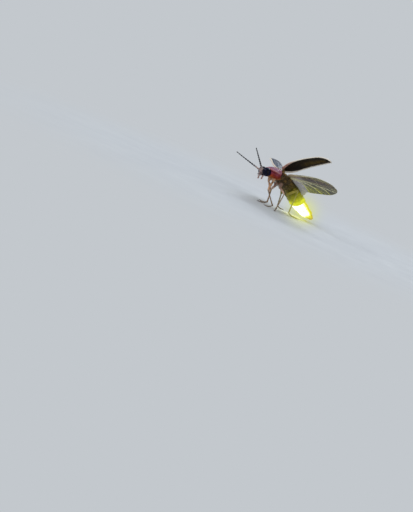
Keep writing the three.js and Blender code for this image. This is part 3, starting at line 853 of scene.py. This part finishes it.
def make_thorax():
    """The hard box that carries wings and legs, with scutellum, hinge plates and the wing cases' stalks."""
    form = Form()
    rings, t, angle = sagittal(THORAX_CURVE, thorax_shape, 90, 144, (0.1, 0.15))
    rings = dented(rings, 0.02, 0.3, 4)
    up = np.sin(angle)
    tan = smooth(0.35, 0.7, noise(rings, 0.5, 9) + 0.3 * smooth(0.3, 0, t)) * 0.6
    tan = np.maximum(tan, 0.7 * bell(up - 0.45, 0.1) * smooth(0.2, 0.0, np.abs(t - 0.25)))
    streaks = smooth(0.1, 0.5, noise(rings * vec(1, 0.45, 1), 0.35, 17))
    skin = of_body(rings)
    # glow is painted lantern light, strongest at the rear and low on the sides, broken into streaks
    form.rings(skin, tan=tan, glow=smooth(0.35, 1.0, t) * smooth(0.7, -0.2, up) * (0.25 + 0.6 * streaks))
    scutellum = ball((0, -2.35, 1.83), (0.42, 0.5, 0.16))
    scutellum[..., 0] *= lerp(1.25, 0.4, smooth(-2.8, -1.9, scutellum[..., 1]))
    form.rings(of_body(scutellum), tan=0.55)
    for side in (1, -1):
        for centre, radii, share in WING_HINGES:
            form.rings(of_body(ball(mirrored(centre, side), radii)), tan=share)
        u = even(20)
        rings = tube(of_body(curve(mirrored(CASE_STALK, side), u)), lerp(0.34, 0.16, u), 24, 0.62)
        form.rings(rings, tan=0.55 * smooth(0.0, 0.5, noise(rings, 0.3, 19)))
    piece("thorax", form, BROWN, "brown_cuticle")
    body_hair("thorax", skin, THORAX_CURVE, 4200, 21, GOLD_HAIR, "brown_cuticle", 0.16, 0.3, 0.005, 22)


# Abdomen

ABDOMEN_CURVE = [(-0.3, 0.1), (0.125, -0.12), (1.0, -0.68), (1.55, -1.06), (2.1, -1.43)]
LANTERN_CURVE = [(2.0, -1.37), (2.25, -1.54), (3.0, -1.98), (3.7, -2.36), (4.45, -2.73)]
TIP_CURVE = [(4.3, -2.67), (4.63, -2.81), (5.0, -2.98), (5.4, -3.16)]
BELLY_HALF = 1.75


def belly_part(name, points, count, size, masks, domes, finish, slot, hair_count, hair_kind):
    """A length of the abdomen with overlapping rings, a soft fold along each side and its own finish.

    size(t) gives half the width and the height above and below. masks is given t, the share q along a ring,
    the height up round it, and the points.
    """

    def along_ring(t):
        return np.where(t >= 1, 1.0, t * count % 1.0)

    def shape(t, angle):
        q, up = along_ring(t), np.sin(angle)
        step = 0.09 * (np.where(t < 1, q * smooth(1.0, 0.95, q), 1.0) - 0.5)
        fold = -0.09 * bell(up + 0.05, 0.1)
        plate = 0.02 * arch(q) * np.abs(up)
        dimples = -0.025 * bell(q - 0.5, 0.2) * bell(np.abs(np.cos(angle)) - 0.6, 0.12)
        return *size(t), step + fold + plate + dimples

    rings, t, angle = sagittal(points, shape, 44 * count, 144, domes)
    rings = dented(rings, 0.015, 0.25, 7)
    skin = of_body(rings)
    form = Form()
    form.rings(skin, **masks(t, along_ring(t), np.sin(angle), rings))
    piece(name, form, finish, slot)
    body_hair(name, skin, points, hair_count, len(name), hair_kind, slot, 0.13, 0.25, 0.0045, 23)


def abdomen_size(t):
    return BELLY_HALF * lerp(0.93, 0.99, t), 0.88 + 0 * t, lerp(1.0, 1.03, t)


def abdomen_masks(t, q, up, points):
    ragged = 0.12 * noise(points, 0.5, 8)
    back = smooth(0.1, 0.85, up)
    edge = smooth(0.7, 0.9, q) * 0.55 + bell(up + 0.05, 0.18) * 0.6
    # light: painted lantern light, on the rear underside next to the lantern
    light = 0.8 * smooth(0.62, 1.0, t + ragged) * (1 - 0.85 * back) * (0.45 + 0.55 * arch(q))
    crease = bell(q - 0.02, 0.09) + bell(q - 1.0, 0.05)
    # glow: painted lantern light, rising towards the lantern and round to the underside
    glow = smooth(0.0, 0.9, t + ragged - 0.4 * back)
    return {"edge": clamp(edge), "glow": glow, "light": light, "crease": clamp(crease)}


def lantern_size(t):
    return BELLY_HALF * lerp(0.95, 0.68, t * t), lerp(0.84, 0.6, t), lerp(1.0, 0.7, t)


def lantern_masks(t, q, up, points):
    ragged = 0.1 * noise(points, 0.4, 13)
    crease = clamp(bell(q, 0.035) * (t > 0.1) + bell(q - 1.0, 0.03) * (t < 0.98))
    side = smooth(0.25, -0.25, up + ragged)
    back = 0.85 * smooth(0.7, 0.98, up + 1.5 * ragged)
    ends = smooth(-0.15, 0.1, t + 0.5 * ragged) * smooth(1.06, 0.82, t + 0.5 * ragged)
    light = 0.55 * (1 - 1.1 * back) + 1.1 * side * ends * (1 - 0.5 * crease)
    return {"glow": side, "back": back, "light": light, "crease": crease * (1 - 0.4 * side)}


def tip_size(t):
    return 1.05 * lerp(1.0, 0.4, t ** 2.5), lerp(0.5, 0.2, t ** 1.3), lerp(0.56, 0.2, t ** 1.3)


def tip_masks(t, q, up, points):
    patches = smooth(0.0, 0.5, noise(points, 0.45, 18))
    stripe = 0.7 * smooth(0.6, 0.95, up) * smooth(0.9, 0.3, t)
    back = np.maximum(stripe, 0.75 * patches * smooth(0.1, 0.5, t))
    # the tip is no lamp: its light and its pale glow are painted lantern light spilling past the lantern
    light = 0.3 + 0.45 * smooth(0.9, -0.2, up) * smooth(1.0, 0.1, t) * (1 - 0.7 * patches)
    crease = clamp(bell(q, 0.06) * 0.8 + 0.3 * patches)
    return {"glow": 0.3 * smooth(0.4, -0.8, up), "back": back, "light": light, "crease": crease}


def make_abdomen():
    belly_part("abdomen", ABDOMEN_CURVE, 4, abdomen_size, abdomen_masks, (0.1, 0.03),
               ABDOMEN, "abdomen_cuticle", 3000, GOLD_HAIR)


def make_lantern():
    belly_part("lantern", LANTERN_CURVE, 2, lantern_size, lantern_masks, (0.05, 0.05),
               LANTERN, "lantern_organ", 1400, PALE_HAIR)


def make_tip():
    # the tip takes the lantern's finish; its emission is painted lantern light
    belly_part("abdomen_tip", TIP_CURVE, 1, tip_size, tip_masks, (0.05, 0.18),
               LANTERN, "tip_cuticle", 500, PALE_HAIR)


# Wings. A pose is a wing's sweep, lift and pitch in degrees.

def wing_axes(side, pose):
    """The directions of span, chord and height, as rows."""
    sweep, lift, pitch = np.radians(pose)
    level, _ = turned(side * X, Y, sweep)
    span, _ = turned(level, Z, lift)
    height, chord = turned(Z, Y, pitch)
    chord = unit(square_to(chord, span))
    return np.stack([span, chord, unit(square_to(square_to(height, span), chord))])


CASE_LENGTH, CASE_WIDTH = 9.4, 2.0
CASE_ARCH, CASE_DROOP = 0.25, 1.14
CASE_HALF_THICK = 0.05
CASE_ROOT = (0.7, -2.83, 2.03)
CASE_POSES = {"left": (16, 25.5, 34), "right": (24.8, 17.5, -6)}
CASE_RIBS = (0.25, 0.48, 0.71)  # shares across


def case_edges(t):
    """Where the wing case's front and rear edges lie, back from its axis. Its tip and root are round."""
    shoulder = 1 - 0.55 * (1 - np.minimum(1, t / 0.24)) ** 2
    tip_round = np.sqrt(1 - (np.maximum(0, t - 0.78) / 0.22) ** 2)
    root_round = np.sqrt(1 - 0.96 * (1 - np.minimum(1, t / 0.04)) ** 2)
    rear = CASE_WIDTH * lerp(0.56, 0.26, t) * shoulder
    front = lerp(rear - 0.25, -CASE_WIDTH * (0.35 + 0.14 * arch(t)) * shoulder, tip_round)
    middle = lerp(front, rear, 0.5)
    return lerp(middle, front, root_round), lerp(middle, rear, root_round)


def make_case(word, side):
    """A thin arched leathery plate with a cream bead round its margin and three low ribs."""
    spans, half_round = 160, 60
    t = np.sin(np.pi / 2 * even(spans))[:, None]
    turn = turns(2 * half_round)[None, :]
    across, upper = 0.5 - 0.5 * np.cos(turn), np.sin(turn) >= 0
    front, rear = case_edges(t)
    chord = lerp(front, rear, across)
    span = t * CASE_LENGTH + 0 * across
    to_edge = np.minimum(np.minimum(chord - front, rear - chord), 1.1 * (CASE_LENGTH - span) + 0.06)
    bulge = arch(lerp(0.12, 0.88, across)) * arch(lerp(0.15, 0.95, t))
    bead = 0.05 * bell(to_edge - 0.08, 0.08)
    ribs = sum(0.035 * bell(across - place, 0.035) for place in CASE_RIBS) * arch(t)
    rounding = np.sqrt(1 - 0.96 * (1 - clamp(to_edge / 0.09)) ** 2)
    dents = 0.006 * noise(np.stack([span, chord, 0 * chord], -1), 0.12, 6)
    half = (CASE_HALF_THICK + bead) * rounding
    lift = np.where(upper, half + ribs + dents, -half + 0.5 * dents)
    height = CASE_ARCH * bulge - CASE_DROOP * t * t + lift
    axes = wing_axes(side, CASE_POSES[word])
    rings = of_body(mirrored(CASE_ROOT, side) + np.stack([span, chord, height], -1) @ axes)
    fore = chord - front < rear - chord
    below = np.where(fore, lerp(0.42, 0.12, smooth(0.0, 0.4, t)), lerp(0.3, 0.16, smooth(0.05, 0.3, t)))
    wide = np.where(upper, np.where(fore, 0.2, 0.13), below)
    rim = smooth(wide + 0.04, wide - 0.05, to_edge + 0.03 * noise(rings, 0.25, 2))
    # a painted streak of lantern light along the inner face, towards the rear edge and the tip
    gold = bell(across - 0.62, 0.2) * smooth(0.3, 0.6, t) * smooth(1.0, 0.8, t)
    base = smooth(0.4, 0.1, t) * fore * np.where(upper, 0.2, 0.9)
    form = Form()
    # upper carries the painted blue-grey reflection on the upper face, over the inner face's brown
    form.rings(rings, rim=rim, base=base, upper=upper, gold=gold)
    piece(f"elytron_{word}", form, CASE, "wing_case")
    draw = np.random.default_rng(41 + side)
    keep = 1 - 0.9 * rim[:-1, :half_round]
    root, normal, down, place = scatter(rings[:, :half_round + 1], 3000, draw, keep)
    group = (root, facing(normal, axes[2] @ BODY_AXES), down, place)
    coat(f"elytron_{word}_hair", [group], DARK_HAIR, "wing_case", 0.08, 0.22, 0.0035, 42)


WING_LENGTH = 9.9
WING_HALF_THICK = 0.012
WING_ROOT = (1.25, -1.6, 1.32)
WING_POSES = {"left": (13, 3, 32), "right": (25, -3, 24)}
WING_HUB = (-0.5, 0.1)
WING_MARGIN = WING_LENGTH * np.array([
    (0, -0.03), (0.14, -0.055), (0.3, -0.075), (0.45, -0.09), (0.6, -0.1), (0.74, -0.09), (0.86, -0.06),
    (0.95, -0.015), (1, 0.045), (0.97, 0.105), (0.88, 0.155), (0.75, 0.19), (0.61, 0.21), (0.47, 0.225),
    (0.35, 0.24), (0.26, 0.25), (0.21, 0.28), (0.15, 0.33), (0.09, 0.345), (0.045, 0.31), (0.02, 0.22),
])
VEINS = [  # first and last radius, darkness, then places: share out from the hub, share round the margin
    (0.08, 0.05, 0.6, (0.1, 0.02), (0.4, 0.035), (0.7, 0.05), (0.985, 0.09)),
    (0.085, 0.03, 0.45, (0.1, 0.06), (0.35, 0.13), (0.49, 0.18), (0.63, 0.24), (0.75, 0.285), (0.985, 0.36)),
    (0.07, 0.025, 0.85, (0.1, 0.15), (0.3, 0.25), (0.55, 0.3), (0.72, 0.33), (0.86, 0.36), (0.985, 0.4)),
    (0.055, 0.02, 0.35, (0.1, 0.3), (0.25, 0.4), (0.5, 0.415), (0.75, 0.42), (0.985, 0.43)),
    (0.105, 0.045, 0.0, (0.1, 0.34), (0.25, 0.45), (0.37, 0.44), (0.63, 0.47), (0.75, 0.463), (0.985, 0.46)),
    (0.06, 0.05, 0.0, (0.63, 0.47), (0.75, 0.485), (0.86, 0.503), (0.985, 0.53)),
    (0.09, 0.07, 0.0, (0.08, 0.4), (0.3, 0.5), (0.44, 0.516), (0.58, 0.54), (0.8, 0.578), (0.985, 0.6)),
    (0.03, 0.02, 0.0, (0.58, 0.54), (0.75, 0.548), (0.985, 0.56)),
    (0.09, 0.065, 0.0, (0.08, 0.46), (0.35, 0.58), (0.5, 0.625), (0.63, 0.66), (0.9, 0.7), (0.985, 0.715)),
    (0.035, 0.025, 0.0, (0.5, 0.625), (0.7, 0.635), (0.985, 0.65)),
    (0.05, 0.02, 0.1, (0.08, 0.52), (0.4, 0.72), (0.7, 0.77), (0.985, 0.785)),
    (0.045, 0.02, 0.15, (0.08, 0.62), (0.45, 0.82), (0.75, 0.85), (0.985, 0.865)),
    (0.035, 0.02, 0.15, (0.08, 0.8), (0.55, 0.91), (0.985, 0.94)),
    (0.03, 0.03, 0.6, (0.49, 0.18), (0.5, 0.24), (0.52, 0.3)),
    (0.025, 0.03, 0.4, (0.6, 0.31), (0.6, 0.36), (0.6, 0.415)),
    (0.03, 0.03, 0.0, (0.5, 0.45), (0.49, 0.48), (0.5, 0.525)),
    (0.03, 0.03, 0.0, (0.42, 0.51), (0.43, 0.56), (0.46, 0.61)),
    (0.025, 0.025, 0.0, (0.52, 0.63), (0.5, 0.69), (0.52, 0.745)),
]
VEIN_SPREAD = (4, 10)  # stretches a vein's places about as the wing does, to space its points evenly
HINGE = [(-0.25, 0.05, -0.02), (0.0, 0.02, 0.05), (0.25, 0.0, 0.1), (0.5, 0.0, 0.14)]  # span, chord, height
HINGE_PLATES = [
    ((0.12, -0.03, 0.12), (0.36, 0.15, 0.1)), ((0.3, 0.2, 0.13), (0.26, 0.14, 0.08)),
    ((0.05, 0.4, 0.08), (0.3, 0.2, 0.09)), ((-0.05, 0.75, 0.05), (0.24, 0.22, 0.07)),
]


def wing_sheet(t, ray):
    """Span, chord and height of the wing's middle surface, t out from the hub and ray round the margin."""
    t, ray = np.broadcast_arrays(t, ray)
    place = clamp(ray) * (len(WING_MARGIN) - 1)
    k = np.minimum(place.astype(int), len(WING_MARGIN) - 2)
    end = between(WING_MARGIN, np.gradient(WING_MARGIN, axis=0), k, (place - k)[..., None])
    span = lerp(WING_HUB[0], end[..., 0], t)
    chord = lerp(WING_HUB[1], end[..., 1], t) - 0.35 * arch(t) * (0.5 - ray)
    camber = 0.3 * arch(t) + 0.12 * np.sin(9 * ray) * t
    folds = -0.05 * np.abs(arch(8 * ray ** 0.9)) * smooth(0.1, 0.5, t)
    ripples = 0.02 * noise(np.stack([span, chord, 0 * span], -1), 0.7, 14)
    return np.stack([span, chord, camber + folds + ripples], -1)


def make_wing(word, side):
    """A clear smoky membrane with raised veins."""
    root, axes = mirrored(WING_ROOT, side), wing_axes(side, WING_POSES[word])

    def place(sheet):
        return root + np.asarray(sheet) @ axes

    ray = even(260)[:, None]
    t = np.linspace(0.08, 1, 90)[None, :]
    sheet = wing_sheet(t, ray)
    lift = WING_HALF_THICK * np.minimum(1, 12 * (1.0 - t) + 0.3)[..., None] * Z
    rings = of_body(place(np.concatenate([sheet + lift, (sheet - lift)[:, ::-1]], 1)))
    s, c, _ = np.moveaxis(np.concatenate([sheet, sheet[:, ::-1]], 1), -1, 0)
    lilac = smooth(3.6, 1.6, s + 0.35 * noise(rings, 0.7, 16)) * smooth(-0.5, 0.1, c)
    spot = bell(s - 8.65, 0.55) * bell(c + 0.02, 0.42)
    band = smooth(1.8, 3.0, s) * smooth(8.8, 7.4, s) * bell(c + 0.28 - 0.1 * (s - 2.3), 0.36)
    brown = np.maximum(spot, band) * (1 + 0.4 * noise(rings, 0.5, 15))
    form = Form()
    # lit is painted lantern light on the wing's middle, towards its rear edge
    form.rings(rings, lilac=lilac, brown=clamp(brown), tan=smooth(3.0, 0.8, s) * bell(c + 0.25, 0.4),
               lit=bell(s - 4.2, 2.2) * smooth(0.7, 1.9, c))
    piece(f"hindwing_{word}", form, MEMBRANE, "wing_membrane")
    veins = Form()
    for first, last, dark, *route in VEINS:
        u = even(60)
        sheet = wing_sheet(*(curve(np.array(route) * VEIN_SPREAD, u) / VEIN_SPREAD).T)
        # lit is painted lantern light, on the veins towards the wing's rear edge and out from its root
        lit = smooth(0.9, 1.7, sheet[:, 1]) * smooth(1.4, 2.6, sheet[:, 0])
        rings = of_body(tube(place(sheet), lerp(first, last, u), 12))
        veins.rings(rings, dark=dark, lit=np.pad(lit, TUBE_DOME, mode="edge")[:, None])
    ray = 0.985 * even(240)
    radius = lerp(0.05, 0.016, smooth(0.1, 0.35, ray))
    veins.rings(of_body(tube(place(wing_sheet(0.997, ray)), radius, 8)), dark=0.25)
    u = even(24)
    veins.rings(of_body(tube(curve(place(HINGE), u), lerp(0.16, 0.09, u), 16, 0.6)), dark=0.7)
    for centre, radii in HINGE_PLATES:
        veins.rings(of_body(ball(place(centre), radii, axes)), dark=0.75)
    piece(f"hindwing_{word}_veins", veins, VEIN, "wing_membrane", is_skin=False)


# Legs

HIPS = {  # where the hip and the thigh of a left leg start, as points of the body
    "front": [(0.5, -3.6, 0.55), (0.62, -3.6, -0.1)],
    "mid": [(0.6, -2.1, 0.2), (0.8, -2.2, -0.6)],
    "hind": [(0.6, -0.75, -0.3), (0.85, -0.6, -1.15)],
}
ANKLE, SOLE = 0.42, 0.095  # heights over the floor
LEGS = {  # knee, ankle and toe, placed from the waist, with their heights over the floor
    "leg_front_left": [(1.7, -4.45, 2.4), (1.4, -2.45, ANKLE), (1.65, -3.75, SOLE)],
    "leg_front_right": [(-0.65, -2.6, 2.0), (-0.85, -2.2, ANKLE), (-1.2, -3.45, SOLE)],
    "leg_mid_left": [(2.9, -2.3, 2.75), (2.8, -2.5, ANKLE), (3.85, -3.3, SOLE)],
    "leg_mid_right": [(-2.0, -1.7, 2.4), (-2.3, -1.3, ANKLE), (-3.3, -1.9, SOLE)],
    "leg_hind_left": [(2.75, -0.15, 4.0), (2.6, -0.05, ANKLE), (3.0, 1.35, SOLE)],
    "leg_hind_right": [(-2.3, 0.3, 2.95), (-2.5, 0.8, ANKLE), (-2.9, 2.15, SOLE)],
}
LEG_TONES = {"front": (0.0, 0.0), "mid": (0.8, 0.0), "hind": (0.0, 0.9)}  # pink, and the hind legs' olive, which is partly painted lantern light
FOOT_JOINTS = (0.0, 0.33, 0.52, 0.67, 0.8, 1.0)  # where the foot's joints start and end
CLAW = [(0, 0, 0), (0.14, 0.08, 0.03), (0.24, 0.12, -0.02), (0.27, 0.11, -0.075)]  # ahead, across, up


def make_leg(name, points, number):
    """Coxa, trochanter, femur, tibia with spurs, five foot joints, the fourth two-lobed, and two claws."""
    _, pair, word = name.split("_")
    hip, thigh = of_body(mirrored(HIPS[pair], 1 if word == "left" else -1))
    knee, ankle, toe = (over_floor(point) for point in points)
    stout = 0.23 if pair == "hind" else 0.21
    pink, olive = LEG_TONES[pair]
    outward = unit(knee - thigh)
    hinge = unit(np.cross(outward, ankle - knee))
    rise = np.cross(hinge, outward)
    rise *= np.sign(rise[2])
    ahead = unit((toe - ankle) * vec(1, 1, 0))
    across = np.cross(Z, ahead)
    form, groups = Form(), []
    draw = np.random.default_rng(60 + number)

    def add(rings, hairs=0, **masks):
        form.rings(rings, pink=pink, olive=olive, **masks)
        if hairs:
            root, _, down, place = scatter(closed_grid(rings), hairs, draw)
            middle = rings.mean(1)[np.minimum((place[:, 0] * len(rings)).astype(int), len(rings) - 1)]
            groups.append((root, unit(root - middle), down, place))

    dark = 0.0 if pair == "front" else 0.35
    add(limb(hip, thigh, (0.26, 0.3, 0.27, 0.18), 20, sides=28), 60, dark=dark)
    add(limb(thigh, lerp(thigh, knee, 0.12), (0.16, 0.16, 0.13), 12), outer=0.3)
    radii = (0.11, stout, stout * 0.98, 0.16, 0.1)
    femur = limb(lerp(thigh, knee, 0.07), knee, radii, 36, rise * 0.08, sides=28, flat=0.8, level=hinge)
    add(femur, 260, outer=0.1)
    add(limb(lerp(knee, thigh, 0.02), lerp(knee, ankle, 0.03), (0.1, 0.095), 6), outer=0.8, dark=0.4)
    radii = (0.07, 0.085, 0.09, 0.095, 0.11)
    add(limb(knee, ankle, radii, 36, rise * 0.07, flat=0.85, level=hinge), 260, outer=0.75)
    for side in (1, -1):
        tip = ankle + across * side * 0.16 + ahead * 0.12 - 0.2 * Z
        add(limb(ankle + across * side * 0.06, tip, (0.03, 0.02, 0.006), 8, sides=8), dark=0.7)
    instep = at_height(lerp(ankle, toe, 0.26), 0.2)
    ball_of_foot = at_height(lerp(ankle, toe, 0.55), SOLE + 0.01)
    u = even(12)
    for joint, (start, end) in enumerate(zip(FOOT_JOINTS[:-1], FOOT_JOINTS[1:])):
        path = curve([ankle, instep, ball_of_foot, toe], lerp(start + 0.01, end - 0.01, u))
        if joint == 3:
            for side in (1, -1):
                lobe = path + across * side * (0.07 * u[:, None])
                add(tube(lobe, lerp(0.05, 0.075, arch(0.7 * u)), 14, 0.8), 14, outer=0.9)
        else:
            slim = 0.075 if joint == 4 else lerp(0.095, 0.085, joint / 3)
            add(tube(path, slim * lerp(0.62, 1.0, smooth(0, 0.9, u)), 16, 0.85), 30, outer=0.9, dark=0.25)
    u = even(14)
    for side in (1, -1):
        claw = toe + np.array(CLAW) @ np.stack([ahead, across * side, Z])
        add(tube(curve(claw, u), lerp(0.04, 0.008, u), 10), dark=0.9)
    piece(name, form, LEG, "leg_cuticle")
    coat(f"{name}_hair", groups, GOLD_HAIR, "leg_cuticle", 0.1, 0.4, 0.0045, 70 + number)


# The insect

make_head()
for word, side in (("left", 1), ("right", -1)):
    make_eye(word, side)
    make_feeler(word, side)
    make_palp(word, side)
    make_case(word, side)
    make_wing(word, side)
make_pronotum()
make_thorax()
make_abdomen()
make_lantern()
make_tip()
for number, (name, points) in enumerate(LEGS.items()):
    make_leg(name, points, number)

# Floor and backdrop

BACKDROP = colour("#c3c8cd")
FLOOR_RADIUS = 3000.0


def make_floor():
    """A pale floor that fades evenly into the backdrop's colour."""
    rings, sides = 24, 96
    radius, turn = np.meshgrid(FLOOR_RADIUS * even(rings + 1)[1:] ** 3, turns(sides), indexing="ij")
    ground = np.stack([radius * np.cos(turn), radius * np.sin(turn), 0 * turn], -1)
    around = np.arange(sides)
    # the corners go round downwards here, and add turns them over, because a flat surface holds no volume
    hub = np.stack([(around + 1) % sides, around, np.full(sides, rings * sides)], 1)
    form = Form()
    form.add(np.concatenate([ground.reshape(-1, 3), [(0, 0, 0)]]), [quads(rings, sides), hub], {})
    f = Finish("floor")
    offset = f.node("VectorMath", {0: f.place}, operation="LENGTH").outputs["Value"]
    glow = f.node("Emission", {"Color": BACKDROP, "Strength": 1.0}).outputs[0]
    far = f.fit(offset, 14 * MM, 60 * MM)
    mixed = f.node("MixShader", {0: far, 1: f.shader.outputs[0], 2: glow})
    put(f.tree, f.tree.nodes["Material Output"].inputs["Surface"], mixed.outputs[0])
    mesh = form.mesh("floor")
    mesh.materials.append(f.made(f.tone(8.0, "#c9cccf #d0d3d5"), f.rough(3.0, 0.75, 0.85)))
    floor = show("floor", mesh)


def make_backdrop():
    """The world: the backdrop's colour where it is seen, and a softer grey where it only gives light."""
    world = bpy.data.worlds.new("studio")
    bpy.context.scene.world = world
    world.use_nodes = True
    tree = world.node_tree
    seen = tree.nodes["Background"]
    put(tree, seen.inputs["Color"], BACKDROP)
    lit = add_node(tree, "ShaderNodeBackground", {"Color": (0.85, 0.92, 1.0, 1.0), "Strength": 0.3})
    is_seen = add_node(tree, "ShaderNodeLightPath").outputs["Is Camera Ray"]
    mixed = add_node(tree, "ShaderNodeMixShader", {0: is_seen, 1: lit.outputs[0], 2: seen.outputs[0]})
    put(tree, tree.nodes["World Output"].inputs["Surface"], mixed.outputs[0])


# The camera: the waist is seen at a pixel of the 413 by 512 picture, at a scale, from an angle.

IMAGE_WIDTH, IMAGE_HEIGHT = 413, 512
LENS, SENSOR = 105.0, 36.0
WAIST_PIXEL = (290, 188)
PIXELS_PER_MM = 6.6
VIEW_TURN, VIEW_RISE, VIEW_ROLL = np.radians((32, 3.5, 24))


def make_camera():
    """Gives back the picture's right and up, and the direction towards the camera."""
    focal = LENS / SENSOR * IMAGE_HEIGHT
    right, toward = turned(Y, X, VIEW_TURN)
    toward, up = turned(toward, Z, VIEW_RISE)
    right, up = turned(right, up, VIEW_ROLL)
    sight = vec((WAIST_PIXEL[0] - IMAGE_WIDTH / 2) / focal, (IMAGE_HEIGHT / 2 - WAIST_PIXEL[1]) / focal, -1)
    swing = Vector(Z).rotation_difference(Vector(-sight)).to_matrix()
    axes = np.stack([right, up, toward], 1) @ np.array(swing).T
    place = WAIST - axes @ sight * focal / PIXELS_PER_MM
    data = bpy.data.cameras.new("camera")
    data.lens, data.sensor_width, data.sensor_fit = LENS, SENSOR, "AUTO"
    data.clip_start, data.clip_end = 1 * MM, 20.0
    camera = show("camera", data)
    camera.matrix_world = Matrix.Translation(place * MM) @ Matrix(axes.tolist()).to_4x4()
    bpy.context.scene.camera = camera
    return right, up, toward


# Light

LIGHTS = [  # name, share of the camera's right, up and towards it, distance and size in metres, watts, tint
    ("key", (-0.5, 0.9, 0.35), 0.6, 0.36, 2.2, (0.93, 0.96, 1.0)),
    ("fill", (1.0, -0.1, 0.6), 0.7, 0.6, 1.1, (1.0, 0.97, 0.93)),
    ("rim", (0.5, 0.55, -0.85), 0.6, 0.3, 1.5, (0.88, 0.93, 1.0)),
]


def make_lights(axes):
    """Soft round lights, placed by the camera's axes and turned to the insect."""
    for name, shares, distance, size, power, tint in LIGHTS:
        data = bpy.data.lights.new(name, "AREA")
        data.shape, data.size, data.energy, data.color = "DISK", size, power, tint
        light = show(name, data)
        direction = unit(shares @ np.stack(axes))
        light.location = Vector(WAIST * MM + direction * distance)
        light.rotation_mode = "QUATERNION"
        light.rotation_quaternion = Vector(direction).to_track_quat("Z", "Y")


def make_halo():
    """A soft yellow-green halo round what is brighter than white."""
    scene = bpy.context.scene
    scene.use_nodes = True
    tree = scene.node_tree
    reach, strength = 24, 2.3
    image = next(n for n in tree.nodes if n.type == "R_LAYERS").outputs["Image"]
    output = next(n for n in tree.nodes if n.type == "COMPOSITE")

    def node(kind, *inputs, **settings):
        return add_node(tree, f"CompositorNode{kind}", enumerate(inputs), **settings).outputs[0]

    bright = node("MapRange", node("RGBToBW", image), 0.85, 1.1, 0.0, 1.0, use_clamp=True)
    spread = node("Blur", bright, (reach, reach), filter_type="FAST_GAUSS")
    outside = node("Math", spread, node("Math", 1.0, bright, operation="SUBTRACT"), operation="MULTIPLY")
    share = node("Math", outside, strength, operation="MULTIPLY", use_clamp=True)
    put(tree, output.inputs["Image"], node("MixRGB", share, image, colour("#e6ec3c")))


make_floor()
make_backdrop()
make_lights(make_camera())
make_halo()
bpy.context.scene.view_settings.view_transform = "Standard"
